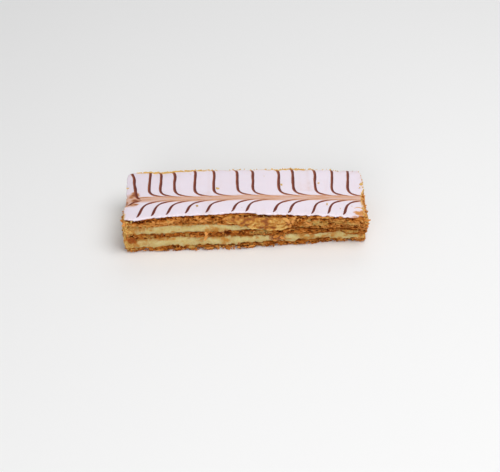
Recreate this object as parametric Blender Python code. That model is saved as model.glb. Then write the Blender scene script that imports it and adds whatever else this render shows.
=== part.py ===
"""Mille feuille slice: three sheets of puff pastry, two bands of custard and a sheet of poured icing.

The slice lies along X with its base flat at z = 0, its front cut face towards -Y, and the origin under
the middle of its box. Every layer runs through the whole slice. A layer is a grid pushed up into a slab,
and each of its points is then placed between two shared surfaces and inside the four cut faces.
"""

import math

import bmesh
import bpy
from mathutils import Vector

# Driving dimensions, in metres.
LENGTH = 0.1380
DEPTH = 0.0454
GAP = 0.0003
CORNER_CUT = 0.0009
FACE_RIPPLE = 0.0004

# Each shared surface, as its height at the left end, the middle and the right end.
SURFACES = {
    "base": (0.0, 0.0, 0.0),
    "on_bottom_sheet": (0.0034, 0.0034, 0.0026),
    "on_lower_cream": (0.0097, 0.0093, 0.0069),
    "on_middle_sheet": (0.0132, 0.0136, 0.0103),
    "on_upper_cream": (0.0185, 0.0180, 0.0141),
    "on_top_sheet": (0.0243, 0.0247, 0.0195),
    "on_icing": (0.0256, 0.0261, 0.0208),
}
RIPPLE = {
    "base": 0.0,
    "on_bottom_sheet": 0.00035,
    "on_lower_cream": 0.0005,
    "on_middle_sheet": 0.0005,
    "on_upper_cream": 0.0005,
    "on_top_sheet": 0.00035,
    "on_icing": 0.00035,
}
RIPPLE_PHASE = {name: 1.7 * place for place, name in enumerate(SURFACES)}
# The top sheet and the icing dip and swell together, so that the icing keeps its thickness.
RIPPLE_PHASE["on_icing"] = RIPPLE_PHASE["on_top_sheet"]

# At the front of the right half, the knife has pressed the top sheet down over the upper cream.
PINCH_THICKNESS = 0.0009
PINCH_REACH = 0.0090
PINCH_FROM = -0.006
PINCH_FULL = 0.012

# How far the front face leans in from its top edge to its base, by X: the knife has torn it unevenly.
FRONT_LEAN = (
    (-0.069, 0.0016),
    (-0.030, 0.0003),
    (0.000, -0.0005),
    (0.020, 0.0015),
    (0.035, 0.0028),
    (0.050, 0.0050),
    (0.069, 0.0046),
)
BACK_LEAN = 0.0006
# Each end spreads out below the icing, most at a third of its height: the left end, then the right.
END_SPREAD = (0.0013, 0.0009)
# Both ends were cut a little askew, so that they lie this much further to the right at the back.
END_SLANT = 0.0008
# The icing's rim is drawn down and in by this much.
ICING_RIM = 0.0008
# The front face bows in at mid length.
WAIST = 0.0024
# How far the back face bows in, by X.
BACK_BOW = ((-0.069, 0.0), (-0.045, 0.0012), (-0.020, 0.0005), (0.000, 0.0005), (0.035, 0.0), (0.069, -0.0003))
# The knife has pressed the right end down at the front only: the top stays this much higher at the back.
BACK_LIFT = 0.0012
LIFTED = ("on_upper_cream", "on_top_sheet", "on_icing")

CELLS_LONG = 32
CELLS_DEEP = 10
WALL_STEPS = 2


def smooth_step(start, end, value):
    """0 before start, 1 after end, and an S-curve in between."""
    t = min(1.0, max(0.0, (value - start) / (end - start)))
    return t * t * (3.0 - 2.0 * t)


def through_three(values, s):
    """The parabola through values at s = -1, 0 and 1."""
    left, middle, right = values
    return middle + (right - left) / 2.0 * s + ((left + right) / 2.0 - middle) * s * s


def ripple(x, y, phase):
    """An uneven swell between -1 and 1, made of three crossing waves."""
    first = math.sin(x / 0.0071 + y / 0.019 + phase)
    second = math.sin(x / 0.0113 - y / 0.0083 + 2.3 * phase)
    third = math.sin(x / 0.0046 + y / 0.0121 + 3.1 * phase)
    return 0.45 * first + 0.35 * second + 0.2 * third


def plain_height(surface, x, y):
    """A shared surface's height with its ripple and its lift at the back, and no pinch."""
    s = max(-1.0, min(1.0, x / (LENGTH / 2.0)))
    level = through_three(SURFACES[surface], s) + RIPPLE[surface] * ripple(x, y, RIPPLE_PHASE[surface])
    if surface in LIFTED:
        level += BACK_LIFT * smooth_step(-0.02, LENGTH / 2.0, x) * (y / DEPTH + 0.5)
    return level


def height(surface, x, y):
    """A shared surface's height: the upper cream thins out towards the front of the right half."""
    z = plain_height(surface, x, y)
    if surface != "on_upper_cream":
        return z
    front = 1.0 - smooth_step(0.0, PINCH_REACH, y - front_face(x, z))
    pinch = front * smooth_step(PINCH_FROM, PINCH_FULL, x)
    thin = plain_height("on_middle_sheet", x, y) + PINCH_THICKNESS
    return z + (thin - z) * pinch


def share_of_height(x, z):
    """0 at the base and 1 at the top of the slice."""
    return z / through_three(SURFACES["on_icing"], max(-1.0, min(1.0, x / (LENGTH / 2.0))))


def at_stations(stations, x):
    """The value at this X, with an S-curve from each station to the next."""
    value = stations[0][1]
    for (start, before), (end, after) in zip(stations, stations[1:]):
        if x > start:
            value = before + (after - before) * smooth_step(start, end, x)
    return value


def front_face(x, z):
    """Y of the front cut face."""
    inward = at_stations(FRONT_LEAN, x) * (1.0 - share_of_height(x, z)) + WAIST * (1.0 - (x / (LENGTH / 2.0)) ** 2)
    return -DEPTH / 2.0 + inward + FACE_RIPPLE * ripple(x, z, 0.4)


def back_face(x, z):
    """Y of the back cut face."""
    inward = BACK_LEAN * (1.0 - share_of_height(x, z)) + at_stations(BACK_BOW, x)
    return DEPTH / 2.0 - inward + FACE_RIPPLE * ripple(x, z, 4.4)


def end_face(side, y, z):
    """X of the cut end on one side, -1 for the left and 1 for the right."""
    spread = END_SPREAD[0] if side < 0 else END_SPREAD[1]
    outward = spread * math.sin(0.75 * math.pi * (1.0 - share_of_height(side * LENGTH / 2.0, z)))
    slant = END_SLANT * (y / DEPTH + 0.5)
    return side * (LENGTH / 2.0 + outward) + slant + FACE_RIPPLE * ripple(y, z, 7.0 + side)


def outline_point(u, v, z, bulge, layer):
    """X and Y of a point of a layer, from its place across the grid, -1 to 1 both ways.

    Each layer stops short of the cut faces by its inset, give or take its ragged edge, and its walls bulge.
    The corners are rounded by drawing in what is near both edges.
    """
    x = LENGTH / 2.0 * u
    y = 0.0
    for _ in range(3):
        short = [
            layer["inset"] - bulge + layer["ragged"] * math.sin(along / layer["tear"] + turn)
            for along, turn in ((x, 0.0), (x, 2.0), (y, 1.0), (y, 3.0))
        ]
        front = front_face(x, z) + short[0]
        back = back_face(x, z) - short[1]
        y = front + (back - front) * (v + 1.0) / 2.0
        left = end_face(-1, y, z) + short[2]
        right = end_face(1, y, z) - short[3]
        x = left + (right - left) * (u + 1.0) / 2.0
    near_corner = abs(u) ** 14 * abs(v) ** 6
    return x - math.copysign(CORNER_CUT * near_corner, u), y - math.copysign(CORNER_CUT * near_corner, v)


def place_point(u, v, w, layer):
    """The point of a layer at u and v across the grid, and w of the way up its wall."""
    lower, upper = layer["between"]
    bulge = layer["bulge"] * 4.0 * w * (1.0 - w)
    under_gap = 0.0 if lower == "base" else GAP / 2.0
    over_gap = 0.0 if upper == "on_icing" else GAP / 2.0
    x, y, z = LENGTH / 2.0 * u, DEPTH / 2.0 * v, 0.0
    for _ in range(4):
        bottom = height(lower, x, y) + under_gap
        top = height(upper, x, y) - over_gap
        z = bottom + (top - bottom) * w
        x, y = outline_point(u, v, z, bulge, layer)
    # The icing's upper rim is drawn down and in, as poured icing sets with a round edge.
    rim = layer["round_rim"] * w * max(abs(u) ** 40, abs(v) ** 16)
    return Vector((x * (1.0 - rim / LENGTH), y * (1.0 - rim / DEPTH), z - rim / 2.0))


def slab(name, layer, material):
    """One layer as a closed slab: a grid pushed up in steps, with every point then set in its place."""
    mesh = bpy.data.meshes.new(name)
    form = bmesh.new()
    bmesh.ops.create_grid(form, x_segments=CELLS_LONG, y_segments=CELLS_DEEP, size=1.0)
    level = form.faces[:]
    for step in range(WALL_STEPS):
        risen = bmesh.ops.extrude_face_region(form, geom=level)["geom"]
        points = [item for item in risen if isinstance(item, bmesh.types.BMVert)]
        bmesh.ops.translate(form, verts=points, vec=(0.0, 0.0, 1.0 / WALL_STEPS))
        if step > 0:
            bmesh.ops.delete(form, geom=level, context="FACES")
        level = [item for item in risen if isinstance(item, bmesh.types.BMFace)]
    for vertex in form.verts:
        vertex.co = place_point(*vertex.co, layer)
    bmesh.ops.recalc_face_normals(form, faces=form.faces)
    form.to_mesh(mesh)
    form.free()
    mesh.shade_smooth()
    mesh.set_sharp_from_angle(angle=math.radians(50.0))
    mesh.materials.append(material)
    piece = bpy.data.objects.new(name, mesh)
    bpy.context.scene.collection.objects.link(piece)
    return piece


def finish(name, colour, roughness):
    """A plain Principled material."""
    material = bpy.data.materials.new(name)
    material.use_nodes = True
    shader = material.node_tree.nodes["Principled BSDF"]
    shader.inputs["Base Color"].default_value = (*colour, 1.0)
    shader.inputs["Roughness"].default_value = roughness
    shader.inputs["Metallic"].default_value = 0.0
    return material


def centre_on_origin(pieces):
    """Moves every layer by the same amount, so that the origin is under the middle of the box."""
    corners = [vertex.co for piece in pieces for vertex in piece.data.vertices]
    low = Vector(min(point[axis] for point in corners) for axis in range(3))
    high = Vector(max(point[axis] for point in corners) for axis in range(3))
    middle = (low + high) / 2.0
    for piece in pieces:
        piece.location = (-middle.x, -middle.y, -low.z)


def clear_scene():
    """Removes what the scene already holds."""
    for item in list(bpy.data.objects):
        bpy.data.objects.remove(item)


def main():
    clear_scene()
    pastry = finish("pastry", (0.52, 0.26, 0.08), 0.75)
    cream = finish("cream", (0.62, 0.48, 0.20), 0.45)
    icing = finish("icing", (0.83, 0.76, 0.82), 0.30)
    layers = {
        "pastry_bottom": (pastry, "base", "on_bottom_sheet", 0.0004, 0.0, 0.0004, 0.0031),
        "cream_lower": (cream, "on_bottom_sheet", "on_lower_cream", 0.0005, 0.0006, 0.0002, 0.0053),
        "pastry_middle": (pastry, "on_lower_cream", "on_middle_sheet", 0.0004, 0.0, 0.0004, 0.0036),
        "cream_upper": (cream, "on_middle_sheet", "on_upper_cream", 0.0005, 0.0006, 0.0002, 0.0062),
        "pastry_top": (pastry, "on_upper_cream", "on_top_sheet", 0.0006, 0.0, 0.0004, 0.0041),
        "icing": (icing, "on_top_sheet", "on_icing", 0.0003, 0.0004, 0.0002, 0.0071),
    }
    pieces = []
    for name, (material, lower, upper, bulge, inset, ragged, tear) in layers.items():
        shape = {"between": (lower, upper), "bulge": bulge, "inset": inset, "ragged": ragged, "tear": tear}
        shape["round_rim"] = ICING_RIM if name == "icing" else 0.0
        pieces.append(slab(name, shape, material))
    centre_on_origin(pieces)


main()
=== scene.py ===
"""Looks of a mille feuille slice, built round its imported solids.

The file is laid out as a Blender add-on and is run as a script. Sizes are in metres unless a name says
otherwise. The slice lies along X, its front cut face towards -Y, its base flat at z = 0.

Every piece is a surface worked out from two parameters: one runs round the slice (a column), and the
other along a profile (a row). The solids of the frame are felt with rays first, so that each surface
follows them, and whatever is finer than the solids is then worked out by formula.
"""

import itertools
import math
import typing

import bmesh
import bpy
import numpy as np
from bpy.props import FloatProperty, FloatVectorProperty, PointerProperty
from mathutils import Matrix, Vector
from mathutils.bvhtree import BVHTree


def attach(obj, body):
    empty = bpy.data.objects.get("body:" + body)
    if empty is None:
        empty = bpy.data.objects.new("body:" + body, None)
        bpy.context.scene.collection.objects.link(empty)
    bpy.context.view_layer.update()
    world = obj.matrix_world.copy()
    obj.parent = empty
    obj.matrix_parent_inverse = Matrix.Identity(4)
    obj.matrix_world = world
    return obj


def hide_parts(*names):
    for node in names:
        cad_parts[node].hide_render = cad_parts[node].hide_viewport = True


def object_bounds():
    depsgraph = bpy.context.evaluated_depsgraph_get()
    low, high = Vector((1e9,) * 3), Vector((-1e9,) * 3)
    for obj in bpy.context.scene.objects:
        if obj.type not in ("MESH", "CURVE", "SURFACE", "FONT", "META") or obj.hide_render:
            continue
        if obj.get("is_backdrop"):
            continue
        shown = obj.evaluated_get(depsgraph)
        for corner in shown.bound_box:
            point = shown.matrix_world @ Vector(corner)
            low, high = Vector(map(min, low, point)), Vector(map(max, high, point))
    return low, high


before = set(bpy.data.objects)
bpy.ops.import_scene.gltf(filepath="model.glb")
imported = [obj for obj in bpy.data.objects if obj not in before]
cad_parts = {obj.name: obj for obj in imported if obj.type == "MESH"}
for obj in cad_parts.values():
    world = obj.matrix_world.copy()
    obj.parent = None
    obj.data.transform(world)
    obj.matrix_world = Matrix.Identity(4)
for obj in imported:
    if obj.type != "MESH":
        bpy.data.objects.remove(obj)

bl_info = {
    "name": "Mille Feuille Slice",
    "version": (1, 0, 0),
    "blender": (4, 5, 0),
    "location": "3D View > Sidebar > Mille Feuille",
    "description": "Bakes, fills, ices and lights a mille feuille slice round its packed solids",
    "category": "Add Mesh",
}

MM = 0.001
BODY = "root"
BOX_LOW, BOX_HIGH = (np.array(corner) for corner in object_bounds())
HALF_LENGTH, HALF_DEPTH = (BOX_HIGH - BOX_LOW)[:2] / 2.0
# The number of random values along each side of a noise lattice.
LATTICE = 32
# Rays start this far away from the middle of the slice.
FAR = 0.2

# ---- Settings ----------------------------------------------------


def length(name, description, default):
    """A length that the panel shows in the scene's unit."""
    return FloatProperty(name=name, description=description, default=default, unit="LENGTH", precision=5)


def tint(name, description, default):
    """A linear colour."""
    return FloatVectorProperty(
        name=name, description=description, default=default, size=3, min=0.0, max=1.0, subtype="COLOR"
    )


def angle(name, description, degrees):
    """An angle, given here in degrees."""
    return FloatProperty(name=name, description=description, default=math.radians(degrees), subtype="ANGLE")


class BakeSettings(bpy.types.PropertyGroup):
    """How the sheets of puff pastry have risen and torn."""

    tear_depth: length("Tear Depth", "How unevenly the leaves are torn along a cut face", 0.55 * MM)
    pocket_depth: length("Pocket Depth", "Depth of the open pockets in a cut face", 2.2 * MM)
    nick_depth: length("Nick Depth", "Depth of the small nicks between the pockets", 0.60 * MM)
    grain: length("Grain", "Height of the crumb grain on a cut face", 0.14 * MM)
    column_step: length("Column Step", "Spacing of mesh columns round the slice", 0.30 * MM)
    # The pocket colour is painted shade deep in the pockets, and the pale colour is partly a painted
    # highlight on proud edges.
    pale: tint("Pale Leaf", "Colour of a leaf's edge where it stands proud", (0.76, 0.34, 0.090))
    golden: tint("Golden Leaf", "Colour of the risen leaves", (0.51, 0.165, 0.018))
    brown: tint("Browned Leaf", "Colour of the well baked leaves", (0.31, 0.068, 0.006))
    dark: tint("Pocket", "Colour deep in the pockets", (0.085, 0.011, 0.001))


class CustardSettings(bpy.types.PropertyGroup):
    """How the custard fills the slice and smears over its cut faces."""

    bulge: length("Bulge", "How far the bands swell out at half height", 0.35 * MM)
    lap: length("Lap", "How far the custard laps over the pastry above and below", 0.40 * MM)
    pale: tint("Pale Custard", "Colour of the smooth custard", (0.62, 0.52, 0.225))
    deep: tint("Deep Custard", "Colour of the custard in the thicker smears", (0.56, 0.40, 0.125))
    stained: tint("Stained Custard", "Colour where fat and crumbs have stained it", (0.49, 0.205, 0.024))


class IcingSettings(bpy.types.PropertyGroup):
    """The poured icing and the brown lines that are dragged through it."""

    rim_radius: length("Rim Radius", "Radius of the icing's rounded rim", 0.5 * MM)
    drag_reach: length("Drag Reach", "How far the tool carries a line at the edge of its track", 8.1 * MM)
    drag_track: length("Drag Track", "Half the width of the tool's track", 2.1 * MM)
    drag_fade: length("Drag Fade", "Distance over which the drag falls off beside the track", 1.75 * MM)
    line_width: length("Line Width", "Width of a piped line", 1.78 * MM)
    line_height: length("Line Height", "How far a line stands over the icing", 0.07 * MM)
    tail_width: length("Tail Width", "Least width of a line where it is drawn out", 0.85 * MM)
    white: tint("Icing", "Colour of the icing", (0.84, 0.75, 0.83))
    caramel: tint("Dragged Band", "Colour of the band that the tool has mixed", (0.68, 0.37, 0.235))
    cocoa: tint("Cocoa", "Colour of the piped lines", (0.138, 0.025, 0.015))


class ScatterSettings(bpy.types.PropertyGroup):
    """Loose flakes and crumbs."""

    amount: FloatProperty(
        name="Amount",
        description="Share of the full number of flakes and crumbs",
        default=1.0,
        min=0.0,
        max=1.0,
    )
    yellow: tint("Yellow Crumb", "Colour of the crumbs that custard has soaked", (0.82, 0.56, 0.17))


class StageSettings(bpy.types.PropertyGroup):
    """Camera, lights and floor."""

    elevation: angle("Elevation", "Camera angle above the horizon", 40.0)
    azimuth: angle("Azimuth", "Camera angle round the slice", -2.5)
    distance: length("Distance", "From the camera to the point it looks at", 0.69)
    lens: FloatProperty(name="Lens", description="Focal length in millimetres", default=84.96)
    floor: tint("Floor", "Colour of the floor", (0.90, 0.90, 0.90))


class SliceSettings(bpy.types.PropertyGroup):
    """All settings of the slice."""

    bake: PointerProperty(type=BakeSettings)
    custard: PointerProperty(type=CustardSettings)
    icing: PointerProperty(type=IcingSettings)
    scatter: PointerProperty(type=ScatterSettings)
    stage: PointerProperty(type=StageSettings)


# ---- Formulas ----------------------------------------------------


def smooth_step(start, end, value):
    """0 before start, 1 after end, and the cubic 3t^2 - 2t^3 in between."""
    t = np.clip((value - start) / (end - start), 0.0, 1.0)
    return t * t * (3.0 - 2.0 * t)


def blend(first, second, factor):
    """first where factor is 0, second where it is 1, and a straight mix in between."""
    return first + (second - first) * factor


def bump_at(value, middle, width):
    """A bell of height 1 at middle, falling off as exp(-(distance / width)^2)."""
    return np.exp(-(((value - middle) / width) ** 2))


def in_mm(points):
    """X, Y and Z of these points, in millimetres."""
    return tuple(np.moveaxis(points, -1, 0) / MM)


# The random lattices drawn so far, by seed.
noise_tables = {}


def cloud(seed, x, y, z=0.0):
    """Smooth noise from -1 to 1.

    Random values stand at the whole-number points of a repeating lattice. In between, the eight values
    round a point are mixed with cubic weights.
    """
    if seed not in noise_tables:
        noise_tables[seed] = np.random.default_rng(seed).uniform(-1.0, 1.0, (LATTICE,) * 3)
    cells, parts = [], []
    for value in np.broadcast_arrays(x, y, z):
        cell = np.floor(value)
        part = value - cell
        cells.append(cell.astype(int))
        parts.append(part * part * (3.0 - 2.0 * part))
    total = 0.0
    for corner in itertools.product((0, 1), repeat=3):
        weight = 1.0
        for part, upper in zip(parts, corner):
            weight = weight * (part if upper else 1.0 - part)
        place = tuple((cell + upper) % LATTICE for cell, upper in zip(cells, corner))
        total = total + weight * noise_tables[seed][place]
    return total


def blotch(seed, place, wide, tall=1.0):
    """Smooth noise over a place of x, y and perhaps z, in patches this wide, and this tall along z."""
    x, y, z = (*place, 0.0)[:3]
    return cloud(seed, x / wide, y / wide, z / tall)


def rough(seed, place, wide=1.0, tall=1.0, octaves=3):
    """Blotches of several sizes: each octave is half as large and half as strong as the one before."""
    x, y, z = (*place, 0.0)[:3]
    x, y, z = x / wide, y / wide, z / tall
    total, strength, scale = 0.0, 0.6, 1.0
    for octave in range(octaves):
        total = total + strength * cloud(seed + 31 * octave, x * scale, y * scale, z * scale)
        strength, scale = strength / 2.0, scale * 2.03
    return total


def foam(seed, x, y, z):
    """Cells of an uneven foam, as the distance from the wall of a cell, and the cell's own number.

    Every unit cube holds one seed point at a random place. The wall lies where the nearest and the
    second nearest seed points are equally far, so the distance from it is the second distance less the
    first. The own number, 0 to 1, is that of the nearest seed point.
    """
    key = ("foam", seed)
    if key not in noise_tables:
        noise_tables[key] = np.random.default_rng(seed).random((LATTICE,) * 3 + (4,))
    place = np.stack(np.broadcast_arrays(x, y, z), -1)
    cube = np.floor(place).astype(int)
    nearest = np.full(place.shape[:-1], 9.0)
    second = nearest.copy()
    own = np.zeros(place.shape[:-1])
    for step in itertools.product((-1, 0, 1), repeat=3):
        there = cube + step
        drawn = noise_tables[key][tuple(np.moveaxis(there % LATTICE, -1, 0))]
        gap = np.linalg.norm(there + 0.1 + 0.8 * drawn[..., :3] - place, axis=-1)
        second = np.minimum(second, np.maximum(gap, nearest))
        own = np.where(gap < nearest, drawn[..., 3], own)
        nearest = np.minimum(nearest, gap)
    return second - nearest, own


def average_along(values, positions, width, period=None):
    """Each value becomes the bell-weighted mean of its neighbours within about width."""
    gap = positions[:, None] - positions[None, :]
    if period is not None:
        gap = (gap + period / 2.0) % period - period / 2.0
    weight = np.exp(-((gap / width) ** 2) / 2.0)
    return (weight / weight.sum(axis=1, keepdims=True)) @ values


# ---- Feeling the solids ------------------------------------------


def solid_tree(*nodes):
    """A search tree over the faces of these nodes."""
    points, faces, base = [], [], 0
    for node in nodes:
        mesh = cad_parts[node].data
        mesh.calc_loop_triangles()
        place = np.empty((len(mesh.vertices), 3), np.float32)
        corners = np.empty((len(mesh.loop_triangles), 3), np.int32)
        mesh.vertices.foreach_get("co", place.ravel())
        mesh.loop_triangles.foreach_get("vertices", corners.ravel())
        points.append(place)
        faces.append(corners + base)
        base += len(place)
    return BVHTree.FromPolygons(np.concatenate(points).tolist(), np.concatenate(faces).tolist())


def hits(tree, starts, ways):
    """Distance from each start along its way to the tree, or nan where it misses."""
    found = (tree.ray_cast(Vector(start), Vector(way)) for start, way in zip(starts, ways))
    return np.array([math.nan if hit[3] is None else hit[3] for hit in found])


class Track:
    """Columns round the slice, counter-clockwise from above, starting at the left end of the front.

    A column starts at the nearest point of an inner rectangle, which lies in from the slice's box by
    the given inset, and runs outwards from there to an evenly spaced point of the box's outline. That
    point is also kept in millimetres, as place.
    """

    def __init__(self, inset, step):
        long_side = max(8, round(2.0 * HALF_LENGTH / step))
        short_side = max(4, round(2.0 * HALF_DEPTH / step))
        corners_x = np.array([-1, 1, 1, -1, -1]) * HALF_LENGTH
        corners_y = np.array([-1, -1, 1, 1, -1]) * HALF_DEPTH
        sides = np.cumsum([0, long_side, short_side, long_side, short_side])
        place = np.arange(sides[-1])
        outline = np.stack([np.interp(place, sides, corners_x), np.interp(place, sides, corners_y)], 1)
        limit = np.array([HALF_LENGTH - inset, HALF_DEPTH - inset])
        self.root = np.clip(outline, -limit, limit)
        way = outline - self.root
        self.whole = np.linalg.norm(way, axis=1)
        self.way = way / self.whole[:, None]
        self.outline = outline
        self.place = in_mm(outline)
        side_lengths = np.array([0.0, 2 * HALF_LENGTH, 2 * HALF_DEPTH, 2 * HALF_LENGTH, 2 * HALF_DEPTH])
        self.along = np.interp(place, sides, np.cumsum(side_lengths))
        self.period = side_lengths.sum()
        self.count = len(place)

    def spread(self, reach, height):
        """The points at this distance along the columns and this height, as rows of columns."""
        reach, height = np.broadcast_arrays(reach, height)
        return np.concatenate([self.root + self.way * reach[..., None], height[..., None]], axis=-1)


# How far the rectangle that the columns start from lies in from the slice's box, for cut faces.
WALL_INSET = 7.0 * MM
# The shares of a layer's height at which its wall is felt.
LEVELS = np.array([0.04, 0.27, 0.5, 0.73, 0.96])
# How far in from its wall a layer's lower and upper heights are felt, and how far in a wall may lie.
FEEL_INSIDE = 1.6 * MM
DEEPEST_WALL = 6.5 * MM
# Over what distance a skin is smoothed, and how far apart a face's rays are.
SKIN_BLUR = 1.3 * MM
FACE_STEP = 1.0 * MM


class Skin:
    """A layer's outer skin along a track: its lower and upper heights, and its reach at five levels."""

    def __init__(self, node, track):
        tree = solid_tree(node)
        self.track = track
        self.low, self.high = self.heights(tree, track.whole - DEEPEST_WALL)
        edge = self.fill(self.reach_at(tree, track, (self.low + self.high) / 2.0))
        self.low, self.high = self.heights(tree, edge - FEEL_INSIDE)
        reach = [self.reach_at(tree, track, blend(self.low, self.high, level)) for level in LEVELS]
        self.low, self.high, *self.reach = (
            average_along(self.fill(row), track.along, SKIN_BLUR, track.period)
            for row in (self.low, self.high, *reach)
        )
        self.reach = np.array(self.reach)

    def heights(self, tree, reach):
        """The solid's lower and upper heights at this reach along each column."""
        inside = self.track.spread(reach, 0.0)
        up = np.tile([0.0, 0.0, 1.0], (self.track.count, 1))
        low = self.fill(hits(tree, inside - FAR * up, up)) - FAR
        high = FAR - self.fill(hits(tree, inside + FAR * up, -up))
        return low, high

    @staticmethod
    def reach_at(tree, track, height):
        """How far out along each column the solid's wall is, at this height."""
        start = track.spread(FAR, height)
        way = np.concatenate([-track.way, np.zeros((track.count, 1))], axis=1)
        reach = FAR - hits(tree, start, way)
        # A ray can slip over a rim that is drawn down and strike the surface far inside.
        return np.where(reach > track.whole - DEEPEST_WALL, reach, math.nan)

    @staticmethod
    def fill(row):
        """The row with its misses filled from their neighbours."""
        place = np.arange(len(row))
        good = ~np.isnan(row)
        return np.interp(place, place[good], row[good])

    def at(self, level, column):
        """The reach at these levels and columns, with straight runs between the five felt levels. A
        level is 0 at the foot of the wall and 1 at its top."""
        place = np.interp(level, LEVELS, np.arange(len(LEVELS)))
        first = np.minimum(place.astype(int), len(LEVELS) - 2)
        return blend(self.reach[first, column], self.reach[first + 1, column], place - first)

    def wall(self, level):
        """The reach at these levels, along every column."""
        return self.at(level, np.arange(self.track.count))


# The skins felt so far, by node, inset and step.
felt_skins = {}


def felt(node, inset, settings):
    """The skin of a node along the track with this inset, worked out once."""
    key = (node, round(inset, 7), round(settings.bake.column_step, 7))
    if key not in felt_skins:
        felt_skins[key] = Skin(node, Track(inset, settings.bake.column_step))
    return felt_skins[key]


class Face:
    """One side of some nodes as a smooth surface, felt along rays every millimetre.

    u and v are the two axes across the rays, from low to high in both. What is kept is the coordinate
    along the rays, smoothed by bell-weighted means that leave out the rays that miss.
    """

    def __init__(self, nodes, axes, toward, low, high, blur):
        tree = solid_tree(*nodes)
        self.u, self.v = (np.arange(start, stop + FACE_STEP, FACE_STEP) for start, stop in zip(low, high))
        grid = np.meshgrid(self.u, self.v, indexing="ij")
        along = 3 - sum(axes)
        way = np.zeros(3)
        way[along] = toward
        starts = np.zeros(grid[0].shape + (3,)) - FAR * way
        starts[..., axes[0]], starts[..., axes[1]] = grid
        depth = hits(tree, starts.reshape(-1, 3), np.tile(way, (grid[0].size, 1))).reshape(grid[0].shape)
        inside = ~np.isnan(depth)
        value = np.where(inside, toward * (depth - FAR), 0.0)
        mask = inside.astype(float)
        for _ in range(2):
            for positions in (self.u, self.v):
                value = average_along(value, positions, blur).T
                mask = average_along(mask, positions, blur).T
            value = value / np.maximum(mask, 1e-12)
            mask = np.ones_like(mask)
        self.value = value

    def at(self, u, v):
        """The surface over these points, by straight mixes between the four nearest felt ones."""
        u = np.clip((u - self.u[0]) / FACE_STEP, 0, len(self.u) - 1.001)
        v = np.clip((v - self.v[0]) / FACE_STEP, 0, len(self.v) - 1.001)
        i, j = np.floor(u).astype(int), np.floor(v).astype(int)
        u, v = u - i, v - j
        near = blend(self.value[i, j], self.value[i + 1, j], u)
        far = blend(self.value[i, j + 1], self.value[i + 1, j + 1], u)
        return blend(near, far, v)


def icing_cover():
    """The upper face of the icing. Its rim is drawn down, and is left to the piece that uses this."""
    limit = np.array([HALF_LENGTH - 3 * MM, HALF_DEPTH - 4 * MM])
    return Face(["icing"], (0, 1), -1.0, -limit, limit, 2.2 * MM)


def front_face():
    """The front cut face of the whole slice, as Y over X and Z."""
    limit = HALF_LENGTH - 3 * MM
    low, high = (-limit, 1.0 * MM), (limit, BOX_HIGH[2] - 3.0 * MM)
    return Face(list(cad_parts), (0, 2), 1.0, low, high, 1.2 * MM)


# ---- Meshes ------------------------------------------------------


def loft(name, grid, attributes=None, seam=False):
    """A mesh of one or more closed shapes, each a grid of rows and columns.

    grid holds shapes x rows x columns x 3. The columns close on themselves, and each shape's first and
    last row are closed by a fan to a point at their mean. Its rows run from the underside outwards, up
    the wall and back in over the top, and its columns counter-clockwise from above, so that the faces
    point out. attributes hold one number for each point of the grid. With seam, the last row already
    meets itself along a line, where its points are merged in place of the fan.
    """
    shapes, rows, columns = grid.shape[:3]
    poles = grid[:, [0, -1]].mean(axis=2)
    points = np.concatenate([grid.reshape(shapes, -1, 3), poles], axis=1)
    each = rows * columns + 2
    row = np.arange(rows - 1)[:, None] * columns
    left = np.arange(columns)[None, :]
    right = (left + 1) % columns
    quads = np.stack([row + left, row + right, row + columns + right, row + columns + left], -1)
    quads = quads.reshape(-1, 4)
    left, right = left[0], right[0]
    last = (rows - 1) * columns
    under = np.stack([right, left, np.full(columns, each - 2)], -1)
    over = np.stack([last + left, last + right, np.full(columns, each - 1)], -1)
    fans = under if seam else np.concatenate([under, over])
    offset = np.arange(shapes)[:, None, None] * each
    quads, fans = (quads + offset).reshape(-1, 4), (fans + offset).reshape(-1, 3)
    mesh = bpy.data.meshes.new(name)
    mesh.vertices.add(shapes * each)
    mesh.vertices.foreach_set("co", points.astype(np.float32).ravel())
    corners = np.concatenate([quads.ravel(), fans.ravel()])
    starts = np.concatenate([np.arange(len(quads)) * 4, len(quads) * 4 + np.arange(len(fans)) * 3])
    mesh.loops.add(len(corners))
    mesh.loops.foreach_set("vertex_index", corners.astype(np.int32))
    mesh.polygons.add(len(starts))
    mesh.polygons.foreach_set("loop_start", starts.astype(np.int32))
    mesh.update(calc_edges=True)
    for title, values in (attributes or {}).items():
        values = np.broadcast_to(values, grid.shape[:3])
        ends = values[:, [0, -1]].mean(axis=2)
        values = np.concatenate([values.reshape(shapes, -1), ends], axis=1)
        layer = mesh.attributes.new(title, "FLOAT", "POINT")
        layer.data.foreach_set("value", values.astype(np.float32).ravel())
    if seam:
        form = bmesh.new()
        form.from_mesh(mesh)
        form.verts.ensure_lookup_table()
        bmesh.ops.remove_doubles(form, verts=form.verts[last:last + columns], dist=0.001 * MM)
        loose = [point for point in form.verts if not point.link_faces]
        bmesh.ops.delete(form, geom=loose, context="VERTS")
        form.to_mesh(mesh)
        form.free()
    mesh.shade_smooth()
    return mesh


def add_piece(mesh, material, slot, *nodes):
    """Puts a finished mesh into the scene as a piece that rides on the slice and stands for the nodes."""
    old = bpy.data.objects.get(mesh.name)
    if old is not None:
        bpy.data.objects.remove(old)
    piece = bpy.data.objects.new(mesh.name, mesh)
    mesh.materials.append(material)
    bpy.context.scene.collection.objects.link(piece)
    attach(piece, BODY)
    if nodes:
        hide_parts(*nodes)
    return piece


def kept_in_box(grid):
    """The points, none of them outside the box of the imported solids."""
    return np.clip(grid, BOX_LOW, BOX_HIGH)


# ---- Shader nodes ------------------------------------------------


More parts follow.
